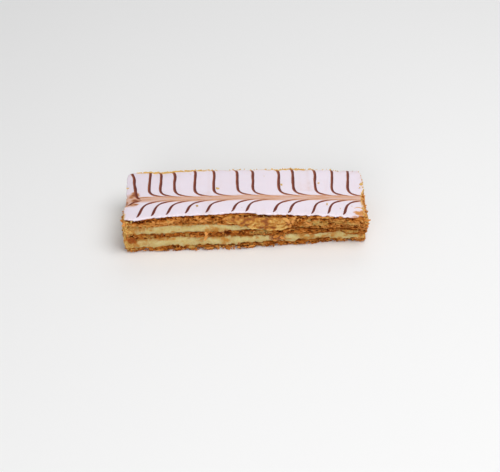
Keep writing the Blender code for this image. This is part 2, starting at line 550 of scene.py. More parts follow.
def add(tree, kind, inputs=None, **settings):
    """A node of this kind. An input is a value, or another node's output, which is then linked to it."""
    node = tree.nodes.new(kind)
    for name, value in settings.items():
        setattr(node, name, value)
    for name, value in (inputs or {}).items():
        socket = node.inputs[name]
        if isinstance(value, bpy.types.NodeSocket):
            tree.links.new(value, socket)
        else:
            socket.default_value = value
    return node


def math_node(tree, operation, first, second=0.0, clamp=False):
    """The output of one sum, product or the like."""
    node = add(tree, "ShaderNodeMath", {0: first, 1: second}, operation=operation, use_clamp=clamp)
    return node.outputs[0]


def added(tree, total, value, weight):
    """The output of total + weight * value."""
    return math_node(tree, "ADD", total, math_node(tree, "MULTIPLY", value, weight))


def scaled(colour, factors):
    """A colour with each part times its own factor, and none over 1."""
    return tuple(min(1.0, value * factor) for value, factor in zip(colour, factors))


def between(first, second, factor):
    """A plain colour between two others."""
    return tuple(blend(one, other, factor) for one, other in zip(first, second))


def mixed(tree, factor, first, second):
    """The output of a mix of two colours. A plain colour has three numbers."""
    inputs = {0: factor}
    for index, colour in ((6, first), (7, second)):
        inputs[index] = colour if isinstance(colour, bpy.types.NodeSocket) else (*colour, 1.0)
    node = add(tree, "ShaderNodeMix", inputs, data_type="RGBA")
    return node.outputs[2]


def ramp(tree, factor, *stops):
    """The output of a colour ramp through these (position, colour) stops."""
    node = add(tree, "ShaderNodeValToRGB", {0: factor})
    elements = node.color_ramp.elements
    while len(elements) < len(stops):
        elements.new(0.5)
    for element, (position, colour) in zip(elements, stops):
        element.position = position
        element.color = (*colour, 1.0)
    return node.outputs[0]


def window(tree, value, low, high):
    """0 where the value is under low, 1 over high, and a smooth rise in between."""
    node = add(
        tree,
        "ShaderNodeMapRange",
        {"Value": value, "From Min": low, "From Max": high},
        interpolation_type="SMOOTHSTEP",
    )
    return node.outputs[0]


def noise(tree, vector, scale, detail=2.0, roughness=0.5):
    """The factor output of a noise texture."""
    inputs = {"Vector": vector, "Scale": scale, "Detail": detail, "Roughness": roughness}
    return add(tree, "ShaderNodeTexNoise", inputs).outputs[0]


def reading(tree, name):
    """The output of one of the mesh's own attributes."""
    return add(tree, "ShaderNodeAttribute", attribute_name=name).outputs["Fac"]


def object_point(tree):
    """The object coordinates, in metres."""
    return add(tree, "ShaderNodeTexCoord").outputs["Object"]


def lit_through(weight, scale, radius):
    """The shader values of light that enters a surface: how much of it, and how far, by colour."""
    return {"Subsurface Weight": weight, "Subsurface Scale": scale, "Subsurface Radius": radius}


def new_material(name, values):
    """A material with an empty tree but for its shader and output, and the shader's plain values."""
    material = bpy.data.materials.get(name) or bpy.data.materials.new(name)
    material.use_nodes = True
    tree = material.node_tree
    tree.nodes.clear()
    shader = tree.nodes.new("ShaderNodeBsdfPrincipled")
    output = tree.nodes.new("ShaderNodeOutputMaterial")
    tree.links.new(shader.outputs[0], output.inputs["Surface"])
    for socket, value in values.items():
        shader.inputs[socket].default_value = value
    return material, tree, shader


def dress(tree, shader, colour, height, distance, strength):
    """Links a colour and a bump, whose distance is in metres, to the shader."""
    inputs = {"Height": height, "Distance": distance, "Strength": strength}
    bump = add(tree, "ShaderNodeBump", inputs)
    tree.links.new(colour, shader.inputs["Base Color"])
    tree.links.new(bump.outputs[0], shader.inputs["Normal"])


def effect_group(name, inputs, outputs):
    """A shader node group, with its input and output nodes. They are None if the group exists."""
    group = bpy.data.node_groups.get(name)
    if group is not None:
        return group, None, None
    group = bpy.data.node_groups.new(name, "ShaderNodeTree")
    for title, default in inputs.items():
        socket = group.interface.new_socket(title, in_out="INPUT", socket_type="NodeSocketFloat")
        socket.default_value = default
    for title in outputs:
        group.interface.new_socket(title, in_out="OUTPUT", socket_type="NodeSocketFloat")
    return group, group.nodes.new("NodeGroupInput"), group.nodes.new("NodeGroupOutput")


def crumb_grain():
    """Node group: the uneven tone and relief of anything baked or smeared.

    Size is the width of one patch in metres. Tone is slow and patchy, Speck is fine, and Relief is a
    height from 0 to 1. All three are noise on the object coordinates.
    """
    group, entry, end = effect_group("Crumb Grain", {"Size": 1.0 * MM}, ("Tone", "Speck", "Relief"))
    if entry is None:
        return group
    point = object_point(group)
    scale = math_node(group, "DIVIDE", 1.0, entry.outputs["Size"])
    fine = math_node(group, "MULTIPLY", scale, 3.1)
    slow = math_node(group, "MULTIPLY", scale, 0.33)
    tone = window(group, noise(group, point, slow, 2.0), 0.3, 0.7)
    speck = window(group, noise(group, point, fine, 2.0, 0.6), 0.34, 0.66)
    cells = add(group, "ShaderNodeTexVoronoi", {"Vector": point, "Scale": scale}).outputs[0]
    relief = math_node(group, "MULTIPLY", cells, speck)
    for title, value in (("Tone", tone), ("Speck", speck), ("Relief", relief)):
        group.links.new(value, end.inputs[title])
    return group


def grain(tree, size):
    """One use of the crumb grain in a material, as its outputs by name."""
    node = tree.nodes.new("ShaderNodeGroup")
    node.node_tree = crumb_grain()
    node.inputs["Size"].default_value = size
    return node.outputs


# ---- Marks that the knife has left on the front cut face ---------

# Each mark in mm: X, Z, half length, half height, and how strong it is.
MARKS = {
    # Custard that is rubbed over the pastry.
    "rub": (
        (-68.3, 12.5, 2.0, 8.5, 0.90), (-61.6, 18.8, 7.6, 2.3, 1.05), (-55.9, 11.6, 3.2, 1.9, 0.85),
        (-47.7, 9.8, 6.5, 1.0, 0.65), (-33.6, 11.5, 1.1, 2.4, 1.00), (-30.2, 2.8, 2.9, 1.9, 1.00),
        (-2.0, 15.6, 4.8, 1.2, 0.80), (26.7, 4.2, 3.1, 1.7, 0.90), (41.5, 3.6, 4.0, 1.3, 0.65),
        (50.1, 3.4, 3.2, 1.9, 0.85), (59.5, 10.0, 7.0, 1.5, 0.90), (69.0, 5.6, 1.0, 1.8, 0.90),
        (35.5, 17.2, 2.7, 2.8, 0.80), (40.6, 17.4, 3.4, 2.5, 1.00), (45.2, 17.2, 2.5, 2.4, 0.80),
        (54.0, 17.4, 5.4, 1.9, 0.80), (61.0, 16.4, 3.4, 1.5, 0.50), (-42.0, 19.6, 2.4, 1.2, 0.45),
        (-28.0, 19.2, 3.5, 0.9, 0.45), (-67.6, 1.8, 3.0, 2.4, 0.95), (9.5, 11.4, 7.5, 1.7, 0.90),
        (-9.5, 23.6, 2.4, 1.4, 0.50),
    ),
    # Custard that is stained golden.
    "stain": (
        (-68.5, 12.9, 2.9, 9.0, 0.80), (-62.0, 17.6, 7.5, 2.2, 1.00), (-64.5, 6.6, 3.4, 2.5, 0.55),
        (-58.4, 6.0, 2.2, 1.2, 0.60), (-47.7, 8.9, 6.4, 1.1, 0.85), (-17.8, 14.9, 4.6, 1.9, 0.85),
        (-17.3, 9.1, 4.6, 1.5, 0.95), (-11.1, 7.0, 3.2, 1.6, 1.00), (-22.7, 11.0, 1.7, 3.6, 0.90),
        (2.5, 10.2, 3.8, 1.5, 0.95), (31.5, 8.0, 2.4, 1.5, 0.80), (34.8, 3.9, 4.0, 1.2, 0.95),
        (41.5, 4.1, 3.6, 1.1, 0.80), (50.1, 6.2, 3.2, 3.6, 0.62), (59.7, 10.2, 7.5, 1.6, 0.60),
        (69.0, 6.0, 1.8, 3.4, 0.85),
    ),
    # Crust that is pressed into the custard. The one at X -11.8 is painted shadow, drawn as dark crust.
    "crust": (
        (-65.4, 10.1, 3.4, 3.0, 0.85), (-64.6, 10.0, 2.0, 2.2, 0.25), (-11.8, 13.3, 3.3, 1.6, 0.75),
        (-4.2, 4.6, 1.0, 1.0, 1.30), (13.7, 9.1, 1.4, 1.0, 1.10), (18.4, 6.9, 5.2, 3.8, 1.00),
    ),
    # Pastry that is lighter and proud, or, where this is negative, darker and sunk. The darker marks at Z
    # 23 and above, just under the icing, and the one at X -11.8 are painted shadow.
    "light": (
        (-65.3, 23.6, 3.0, 1.0, -0.50), (-57.7, 23.2, 2.6, 0.7, -0.50), (-61.0, 21.0, 6.0, 1.2, 0.20),
        (-42.0, 20.8, 2.4, 1.7, 0.30), (-35.9, 24.4, 1.4, 1.0, -0.50), (-24.9, 22.6, 1.4, 2.8, 0.25),
        (-22.4, 22.0, 1.3, 1.7, 0.25), (-19.5, 23.0, 2.1, 1.6, -0.30), (-13.9, 20.9, 1.6, 2.0, -0.35),
        (-9.5, 23.0, 2.9, 1.7, 0.60), (-11.8, 12.7, 3.4, 2.1, -0.38), (10.7, 23.5, 2.9, 0.9, -0.45),
        (13.7, 24.0, 1.9, 0.7, 0.35), (31.0, 18.8, 2.0, 3.0, -0.15), (35.5, 17.0, 2.7, 2.8, 0.20),
        (40.5, 17.4, 3.1, 2.4, 0.28), (44.8, 17.0, 2.3, 2.5, 0.20), (48.1, 16.4, 1.3, 2.8, -0.28),
        (55.0, 17.0, 5.8, 2.2, 0.16), (25.2, 19.9, 2.5, 2.3, 0.50), (25.2, 23.0, 1.0, 0.8, -1.00),
        (25.3, 14.4, 1.3, 3.0, 0.45), (29.5, 23.0, 2.0, 0.7, -0.40), (1.0, 23.5, 3.0, 0.9, -0.25),
        (62.6, 13.9, 1.1, 1.5, -0.90), (44.1, 20.2, 12.0, 0.7, -0.55), (44.0, 21.4, 3.8, 0.8, 0.40),
        (58.1, 20.8, 6.6, 0.9, 0.35), (-59.0, 1.8, 6.0, 1.4, 0.15), (-64.8, 11.8, 3.2, 1.3, -0.40),
        (63.2, 1.7, 3.0, 1.6, 0.25), (-44.4, 11.9, 9.5, 1.0, -0.10),
    ),
    # Smear that is paler or browner than the rest of it.
    "flap": (
        (6.5, 17.8, 3.2, 3.8, 0.30), (19.7, 15.2, 3.0, 3.4, 0.30), (16.2, 16.2, 1.2, 1.6, -0.30),
        (21.4, 14.6, 1.1, 1.8, -0.35), (0.8, 19.0, 2.0, 3.0, -0.20), (11.5, 20.0, 2.2, 1.6, -0.15),
        (-0.2, 14.8, 3.4, 0.8, 0.25), (6.8, 12.9, 3.4, 1.2, 0.20), (2.8, 19.6, 3.4, 1.8, 0.22),
        (11.8, 18.4, 2.8, 2.6, 0.14),
    ),
}


def marked(kind, x, y, z):
    """How strongly the front is marked, with x, y and z in mm.

    A mark is an ellipse with a soft rim: its strength times a step down from r = 0.5 to r = 1.25, where
    r is the distance from its middle in half axes, bent by noise that is drawn out along Z. The rim of
    a stain is softer, by 0.35 both ways. Marks add up.
    """
    bent = 0.34 * cloud(581, x / 1.3, z / 2.2) + 0.24 * cloud(582, x / 0.5, z / 1.6)
    soft = 0.35 if kind == "stain" else 0.0
    total = 0.0
    for middle_x, middle_z, half_length, half_height, strength in MARKS[kind]:
        apart = np.hypot((x - middle_x) / half_length, (z - middle_z) / half_height) + bent
        total = total + strength * smooth_step(1.25 + soft, 0.50 - soft, apart)
    return total * smooth_step(-14.0, -18.0, y)


# ---- Puff pastry -------------------------------------------------


def baked_ramp(tree, tone, bake):
    """The colour of baked pastry from its tone: 0 deep in a pocket, in painted shade, and 1 on a pale,
    proud edge, partly a painted highlight.
    """
    stops = ((0.0, bake.dark), (0.34, bake.brown), (0.66, bake.golden), (1.0, bake.pale))
    return ramp(tree, tone, *stops)


def pastry_material(settings):
    """Baked puff pastry: the tone attribute with a fine grain picks a colour between pockets in painted
    shade and pale edges that are partly a painted highlight, with custard rubbed into it where the cream
    attribute says so."""
    bake, custard = settings.bake, settings.custard
    plain = {"Roughness": 0.65, "Specular IOR Level": 0.10}
    material, tree, shader = new_material("Puff Pastry", plain)
    coarse = grain(tree, 1.1 * MM)
    fine = grain(tree, 0.45 * MM)
    tone = math_node(tree, "ADD", reading(tree, "tone"), -0.13)
    tone = added(tree, added(tree, tone, coarse["Speck"], 0.13), fine["Speck"], 0.13)
    baked = baked_ramp(tree, tone, bake)
    thick = math_node(tree, "MAXIMUM", coarse["Tone"], window(tree, reading(tree, "cream"), 0.65, 1.0))
    smear = mixed(tree, thick, custard.stained, custard.deep)
    colour = mixed(tree, reading(tree, "cream"), baked, smear)
    height = math_node(tree, "ADD", fine["Relief"], coarse["Relief"])
    dress(tree, shader, colour, height, 0.14 * MM, 0.7)
    return material


class SheetLook(typing.NamedTuple):
    """What sets one sheet apart."""

    node: str
    piece: str
    seed: int
    # How many rows its wall has.
    rows: int
    # The height of one leaf, and the width and height of one cell, in millimetres.
    pitch: float
    cell: tuple
    # How light its wall is.
    tone: float
    # How deep pieces are missing along its foot, and how far the foot is lifted unevenly.
    broken: float = 0.0
    ragged: float = 0.0
    # How far its top leaf is drawn back under the icing, and its wall at the left end and back corner.
    shadow: float = 0.0
    hidden: float = 0.0


SHEETS = (
    SheetLook(
        "pastry_bottom", "sheet_bottom", seed=101, rows=42, pitch=0.90, cell=(2.0, 1.15), tone=0.47,
        broken=1.7 * MM, ragged=1.2 * MM,
    ),
    SheetLook(
        "pastry_middle", "sheet_middle", seed=202, rows=42, pitch=0.85, cell=(2.1, 1.05), tone=0.45,
        hidden=1.2 * MM,
    ),
    SheetLook(
        "pastry_top", "sheet_top", seed=303, rows=56, pitch=1.05, cell=(2.0, 1.25), tone=0.68,
        shadow=0.8 * MM, hidden=1.7 * MM,
    ),
)


def drawn_back_and_shaded(seed, place, room, rise):
    """How far the top leaf has drawn back under the icing, from 0 to 1. It leaves a dark line, which is
    widest near the left end and at three places of the front: the recess itself, and a painted shadow
    that darkens the pastry's tone there."""
    x = place[0]
    at_places = sum(bump_at(x, middle, 3.0) for middle in (11.0, 24.4, 40.6))
    wider = 0.5 * smooth_step(-38.0, -50.0, x) + 0.6 * at_places
    drawn = 0.40 + wider + 0.8 * blotch(seed + 11, place, 3.5) + 0.3 * blotch(seed + 12, place, 1.2)
    below = (1.2 + 1.2 * wider + 0.35 * blotch(seed + 16, place, 1.6)) * MM
    return np.clip(drawn, 0.0, 1.0) * smooth_step(below + 0.35 * MM, below - 0.25 * MM, room - rise)


def baked_wall(points, rise, room, look, bake):
    """How far in each point of a cut pastry wall lies, and its tone.

    The risen dough is a flat-lying foam, bent by noise: the thin walls between its cells stand proud, and
    a cell is open and deep by its own number. A finer foam nicks what is left. The tone paints light and
    shade over this: proud walls, lumps and rims are lighter, a painted highlight, and open cells, nicks
    and splits are darker, a painted shade. The height over the sheet's foot, divided by the leaf pitch and
    bent by the same noise, counts the leaves, and each leaf has its own torn edge and its own browning, a
    noise along the wall.
    """
    x, y, z = place = in_mm(points)
    seed, under_icing = look.seed, look.shadow > 0.0
    sway = 0.55 * blotch(seed, place, 2.3, 1.7)
    bend = 0.45 * blotch(seed + 1, place, 6.0, 3.5) + 0.35 * blotch(seed + 2, place, 2.3, 1.9)
    wide, tall = look.cell
    apart, own = foam(seed + 3, (x + sway) / wide, (y - sway) / wide, (z + bend) / tall)
    looseness = 0.25 * blotch(seed + 4, place, 6.5, 3.0)
    hollow = smooth_step(0.04, 0.34, apart) * smooth_step(0.38, 0.62, own + looseness)
    lump = smooth_step(0.05, 0.40, apart) * smooth_step(0.42, 0.12, own + looseness)
    ridge = smooth_step(0.18, 0.02, apart)
    wide, tall = 0.5 * wide, 0.55 * tall
    apart, own = foam(seed + 5, (x - sway) / wide, (y + sway) / wide, (z + bend) / tall)
    nick = smooth_step(0.06, 0.36, apart) * smooth_step(0.35, 0.65, own - looseness)
    rim = smooth_step(0.22, 0.02, apart)
    turns = (rise / MM + bend) / look.pitch
    leaf = np.floor(turns)
    share = turns - leaf
    lower, upper = (
        blotch(seed + 6, (x, y, edge), 3.3) + 0.5 * blotch(seed + 7, (x, y, edge), 1.2)
        for edge in (leaf, leaf + 1)
    )
    torn = blend(lower, upper, smooth_step(0.25, 0.75, share))
    split = smooth_step(0.40, 0.0, np.abs(share - 0.5))
    split = split * smooth_step(0.0, 0.5, blotch(seed + 8, (x, y, leaf), 2.6))
    crumble = rough(seed + 9, place, 0.9, 0.6)
    swing = 0.40 * blotch(seed + 10, place, 6.0, 7.0)
    hollow = hollow * smooth_step(0.0, 0.25 * MM, np.minimum(rise, room - rise))
    drawn = drawn_back_and_shaded(seed, (x, y), room, rise) * under_icing
    # Pieces are missing along the foot of a broken sheet.
    missing = smooth_step(0.0, 0.40, blotch(seed + 13, (x, y), 3.6)) * smooth_step(1.0, 0.3, rise / room)
    missing = missing * (look.broken > 0.0)
    inset = bake.tear_depth * np.clip(0.55 + 0.6 * torn, 0.0, 1.6) + bake.pocket_depth * hollow
    inset = inset + bake.nick_depth * nick + 0.9 * bake.nick_depth * split + bake.grain * crumble
    inset = inset + look.broken * missing + look.shadow * drawn + swing * MM - 0.30 * MM * lump
    # Painted light and shade: open pockets, nicks, splits and the deeper torn leaves are darker, as if in
    # shade, and proud lumps, ridges and rims are lighter, as if lit.
    tone = look.tone - 0.62 * hollow - 0.22 * nick - 0.20 * split + 0.20 * lump
    tone = tone + 0.16 * ridge + 0.10 * rim + 0.14 * crumble - 0.06 * torn
    tone = tone + 0.16 * blotch(seed + 14, (x, y, leaf), 3.0) + 0.14 * blotch(seed + 15, place, 9, 5)
    # Painted shade: darker under the icing where the top leaf is drawn back, and where pieces are missing
    # from the foot.
    tone = tone - 0.55 * drawn - 0.12 * missing
    # The left end, and the upper rim of the right one, are paler.
    pale_left = smooth_step(-63.5, -67.5, x) * smooth_step(-12.0, -20.0, y)
    pale_right = smooth_step(67.5, 70.0, x) * smooth_step(3.0 * MM, 1.0 * MM, room - rise) * under_icing
    # Front marks: the darker ones at Z 23 and above, under the icing, and the one at X -11.8 are painted
    # shadow.
    light = marked("light", x, y, z)
    inset = inset - 0.7 * MM * np.clip(light, -1.0, 0.7)
    tone = tone + 0.30 * pale_left + 0.45 * pale_right + light
    tone = tone + 0.07 * smooth_step(24.0, 34.0, x) * under_icing
    return np.maximum(inset, 0.0), tone


def press_mask(x, y):
    """1 on the front cut face where the knife has smeared custard down over the top sheet."""
    sides = smooth_step(-7.0 * MM, 1.0 * MM, x), smooth_step(25.0 * MM, 19.0 * MM, x)
    return smooth_step(-10.0 * MM, -14.0 * MM, y) * sides[0] * sides[1]


# A piece is missing from the foot of the front: its X, half width, height and depth in mm.
NOTCH = (-7.2, 1.9, 1.9, 2.6)
# How far the rings of a sheet's underside and upper side lie in from its wall.
UNDER_INSETS = np.array([6.3, 4.2, 2.7, 1.7, 1.0, 0.5, 0.2]) * MM
OVER_INSETS = np.array([0.2, 0.45, 0.8, 1.2, 1.7, 2.3, 3.0, 3.9, 5.0, 6.3]) * MM


def sheet_face(ring, seed, above):
    """The relief and the tone of the rings of a flat face, above the sheet or under it."""
    x, y = ring[..., 0] / MM, ring[..., 1] / MM
    bumps = rough(seed + 25, (x, y, 5.0 if above else -5.0), 1.6)
    return bumps, np.clip(0.55 + 0.35 * bumps + 0.40 * smooth_step(66.0, 68.5, x) * above, 0.0, 1.0)


def bake_sheet(look, settings):
    """One sheet of puff pastry, from its underside out to its foot, up its torn wall and in over it.

    On the wall a point lies in from the felt skin by baked_wall's inset. On the faces above and below,
    it lies in by its ring's own inset plus what is left of the wall's, which dies out over 2.5 mm. A
    ragged foot is lifted by a noise along the wall, which dies out inwards the same way.
    """
    skin = felt(look.node, WALL_INSET, settings)
    track = skin.track
    ragged = look.ragged > 0.0
    level = np.linspace(0.0, 1.0, look.rows)[:, None]
    place_x, place_y = outline = track.place
    lifted = np.clip(blotch(look.seed + 20, outline, 2.6) + 0.25, 0.0, 1.0)
    lifted = look.ragged * (lifted + 0.3 * blotch(look.seed + 21, outline, 0.9))
    notch = bump_at(place_x, NOTCH[0], NOTCH[1]) * (place_y < -22.0) * ragged
    lifted = lifted + NOTCH[2] * MM * notch
    foot = skin.low + np.maximum(lifted, 0.0)
    room = (skin.high - foot)[None, :]
    rise = level * room
    reach = skin.wall(level)
    points = track.spread(reach, foot + rise)
    x, y, z = in_mm(points)
    inset, tone = baked_wall(points, rise, room, look, settings.bake)
    pressed = press_mask(points[..., 0], points[..., 1]) * (look.node == "pastry_top")
    inset = blend(inset, 0.8 * MM, 0.75 * pressed)
    rub = np.clip(marked("rub", x, y, z), 0.0, 1.0)
    inset = blend(inset, (0.45 + 0.15 * cloud(583, x / 1.1, z)) * MM, 0.8 * rub)
    inset = inset + NOTCH[3] * MM * notch
    end_and_corner = smooth_step(-69.0, -70.5, place_x) * smooth_step(-17.0, -11.0, place_y)
    end_and_corner = np.maximum(end_and_corner, smooth_step(-61.0, -65.0, place_x) * (place_y > 20.0))
    inset = inset + look.hidden * end_and_corner
    wall = track.spread(reach - inset, foot + rise)

    rings = UNDER_INSETS[:, None]
    left_over = np.exp(-rings / (2.5 * MM))
    under = track.spread(reach[0] - rings - inset[0] * left_over, skin.low)
    _, under_tone = sheet_face(under, look.seed, False)
    under[..., 2] += (foot - skin.low) * left_over * smooth_step(3.5 * MM, 1.2 * MM, rings)
    rings = OVER_INSETS[:, None]
    over = track.spread(reach[-1] - rings - inset[-1] * np.exp(-rings / (2.5 * MM)), skin.high)
    bumps, over_tone = sheet_face(over, look.seed, True)
    over[..., 2] += 0.28 * MM * bumps * smooth_step(0.0, 0.6 * MM, rings)
    grid = kept_in_box(np.concatenate([under, wall, over]))

    # Custard is rubbed into the parts that stand proud, most of all next to it and at the left end.
    x, y, z = in_mm(wall)
    near_cream = smooth_step(0.6 * MM, 0.0, room - rise) * (look.shadow == 0)
    near_cream = np.maximum(smooth_step(0.9 * MM, 0.0, rise), near_cream)
    cream = rough(look.seed + 26, (x, y, z), 3.2, 1.5) + (0.20 if ragged else 0.35 * near_cream)
    cream = smooth_step(0.20, 0.70, cream) * 0.65
    cream = np.maximum(cream, 0.45 * smooth_step(-64.0, -68.0, x) * smooth_step(-12.0, -20.0, y))
    cream = np.maximum(cream, 0.8 * pressed) * smooth_step(0.15, 0.45, tone)
    cream = np.maximum(cream, rub * (0.80 + 0.35 * cloud(584, x / 0.7, y / 0.7, z / 3.0)))
    none_under, none_over = np.zeros(under_tone.shape), np.zeros(over_tone.shape)
    attributes = {
        "tone": np.clip(np.concatenate([under_tone, tone, over_tone]), 0.0, 1.1)[None],
        "cream": np.clip(np.concatenate([none_under, cream, none_over]), 0.0, 1.0)[None],
    }
    return loft(look.piece, grid[None], attributes)


class SLICE_OT_bake_sheets(bpy.types.Operator):
    """Bake the three sheets of puff pastry"""

    bl_idname = "mille_feuille.bake_sheets"
    bl_label = "Bake Sheets"

    def execute(self, context):
        settings = context.scene.mille_feuille
        material = pastry_material(settings)
        for look in SHEETS:
            add_piece(bake_sheet(look, settings), material, "pastry", look.node)
        return {"FINISHED"}


# ---- Custard -----------------------------------------------------


# The colours of crust that is pressed into the custard, where it is thick.
CRUST_DARK = (0.085, 0.010, 0.001)
CRUST_BROWN = (0.26, 0.052, 0.004)


def custard_material(settings):
    """Custard: smooth, moist and a little translucent, with painted whitish highlights, and stained ochre
    where crumbs have rubbed in.
    """
    custard = settings.custard
    plain = {"Specular IOR Level": 0.32, **lit_through(0.22, 1.4 * MM, (1.0, 0.7, 0.25))}
    material, tree, shader = new_material("Custard", plain)
    patches = grain(tree, 1.5 * MM)
    fine = grain(tree, 0.6 * MM)
    smooth = mixed(tree, patches["Tone"], custard.deep, custard.pale)
    # Painted highlights: whitish spots where the relief of the grain is high.
    white = scaled(custard.pale, (1.12, 1.16, 1.45))
    smooth = mixed(tree, math_node(tree, "MULTIPLY", patches["Relief"], 0.7), smooth, white)
    stain = added(tree, -0.15, fine["Speck"], 0.30)
    stain = math_node(tree, "ADD", stain, reading(tree, "stain"), clamp=True)
    colour = mixed(tree, stain, smooth, custard.stained)
    # Crust that is pressed in is darker where it is thicker.
    pressed = reading(tree, "crust")
    speckled = added(tree, added(tree, 0.38, fine["Speck"], 0.80), pressed, -0.34)
    bake = settings.bake
    stops = ((0.0, CRUST_DARK), (0.34, CRUST_BROWN), (0.70, bake.golden), (1.0, bake.pale))
    colour = mixed(tree, pressed, colour, ramp(tree, speckled, *stops))
    tree.links.new(added(tree, 0.34, patches["Speck"], 0.2), shader.inputs["Roughness"])
    dress(tree, shader, colour, fine["Relief"], 0.06 * MM, 0.6)
    return material


# How far the rings of a custard band's lower side lie in from its wall. The upper side has them too.
BAND_INSETS = np.array([5.5, 3.0, 1.6, 0.8]) * MM


def spread_band(node, piece, seed, habit, settings):
    """One band of custard: a smooth wall that laps over the pastry above and below it.

    The knife leaves upright smear marks, which are noise that is drawn out along Z. At its two edges
    the wall rolls in by a quarter circle, so that it ends where the pastry stands prouder than it.
    habit gives, along the outline and in mm, how much further it laps up and down, how deep it is
    sunk, and how stained it is.
    """
    custard = settings.custard
    skin = felt(node, WALL_INSET, settings)
    track = skin.track
    level = np.linspace(0.0, 1.0, 34)[:, None]
    outline = track.place
    up, down = (blotch(seed + n, outline, 2.8) + 0.6 * blotch(seed + n + 1, outline, 1.0) for n in (7, 9))
    more_up, more_down, sunk, stained = habit(*outline)
    low = skin.low - (custard.lap * (1.0 + 2.6 * down) + more_down * MM)
    high = skin.high + (custard.lap * (0.8 + 2.6 * up) + more_up * MM)
    reach = skin.wall(level)
    height = blend(low, high, level)
    x, y, z = place = in_mm(track.spread(reach, height))
    smears = 0.07 * blotch(seed + 2, place, 0.9, 7.0) + 0.14 * blotch(seed + 3, place, 2.4, 9.0)
    lumps = 0.28 * blotch(seed + 4, place, 5.0, 2.5) + 0.16 * rough(seed + 5, place, 1.5, 1.3, 2)
    to_edge = np.minimum(height - low, high - height)
    short = np.clip(1.0 - to_edge / (0.55 * MM), 0.0, 1.0)
    tuck = 1.0 - np.sqrt(np.clip(1.0 - short**2, 0.0, 1.0))
    inset = (0.55 + sunk + smears + lumps + 1.3 * tuck) * MM - custard.bulge * np.sin(math.pi * level)
    crust = np.clip(marked("crust", x, y, z), 0.0, 2.0)
    relief = 0.45 + 0.9 * rough(seed + 11, place, 1.1, 0.8)
    inset = inset - np.minimum(crust, 1.0) * relief * MM
    wall = track.spread(reach - inset, height)
    rings = BAND_INSETS[:, None]
    under = track.spread(reach[0] - inset[0] - rings, low)
    over = track.spread(reach[-1] - inset[-1] - rings[::-1], high)
    grid = kept_in_box(np.concatenate([under, wall, over]))
    patches = rough(seed + 6, place, 3.2, 1.8)
    near_edge = np.clip(1.0 - to_edge / (0.9 * MM), 0.0, 1.0)
    fringe = np.clip(1.0 - to_edge / (2.0 * MM), 0.0, 1.0)
    fringe = fringe * np.clip(blotch(seed + 12, place, 0.8, 8.0), 0.0, 1.0)
    stain = 0.95 * smooth_step(0.05, 0.60, patches + 0.35 * near_edge + stained)
    stain = stain + 0.25 * near_edge + 0.7 * fringe
    golden = marked("stain", x, y, z) * (1.15 + 0.7 * blotch(seed + 13, place, 0.9, 5.0))
    attributes = {}
    for title, values in (("stain", np.maximum(stain, golden)), ("crust", crust)):
        ends = np.zeros((len(rings), track.count))
        attributes[title] = np.concatenate([ends, np.clip(values, 0.0, 2.0), ends])[None]
    return loft(piece, grid[None], attributes)


def front_rows(skin, x):
    """The skin's lower and upper heights and its five reaches, on the front at each of these X."""
    track = skin.track
    columns = np.flatnonzero((np.abs(track.way[:, 0]) < 1e-6) & (track.outline[:, 1] < 0.0))
    rows = (skin.low, skin.high, *skin.reach)
    return [np.interp(x, track.outline[columns, 0], row[columns]) for row in rows]


# The smear's colours by its tone, from its darkest, where the painted shade under the icing takes it
# down, to the pale lip, which is partly a painted highlight.
SMEAR_COLOURS = (
    (0.05, (0.22, 0.045, 0.004)),
    (0.38, (0.43, 0.145, 0.014)),
    (0.70, (0.57, 0.255, 0.038)),
    (1.00, (0.72, 0.45, 0.13)),
)


def smear_material():
    """Custard that the knife has worked into the crust: golden and mottled, pale along its lip, partly as a
    painted highlight, and darker at its top in painted shade under the icing.
    """
    plain = {"Roughness": 0.48, "Specular IOR Level": 0.30, **lit_through(0.15, 1.0 * MM, (1.0, 0.6, 0.2))}
    material, tree, shader = new_material("Custard Smear", plain)
    patches = grain(tree, 1.4 * MM)
    fine = grain(tree, 0.5 * MM)
    tone = reading(tree, "tone")
    tone = added(tree, added(tree, tone, patches["Speck"], 0.16), fine["Speck"], 0.14)
    dress(tree, shader, ramp(tree, tone, *SMEAR_COLOURS), patches["Relief"], 0.12 * MM, 0.6)
    return material


# The share of a section's points that lie on its front.
FRONT_SHARE = 0.72


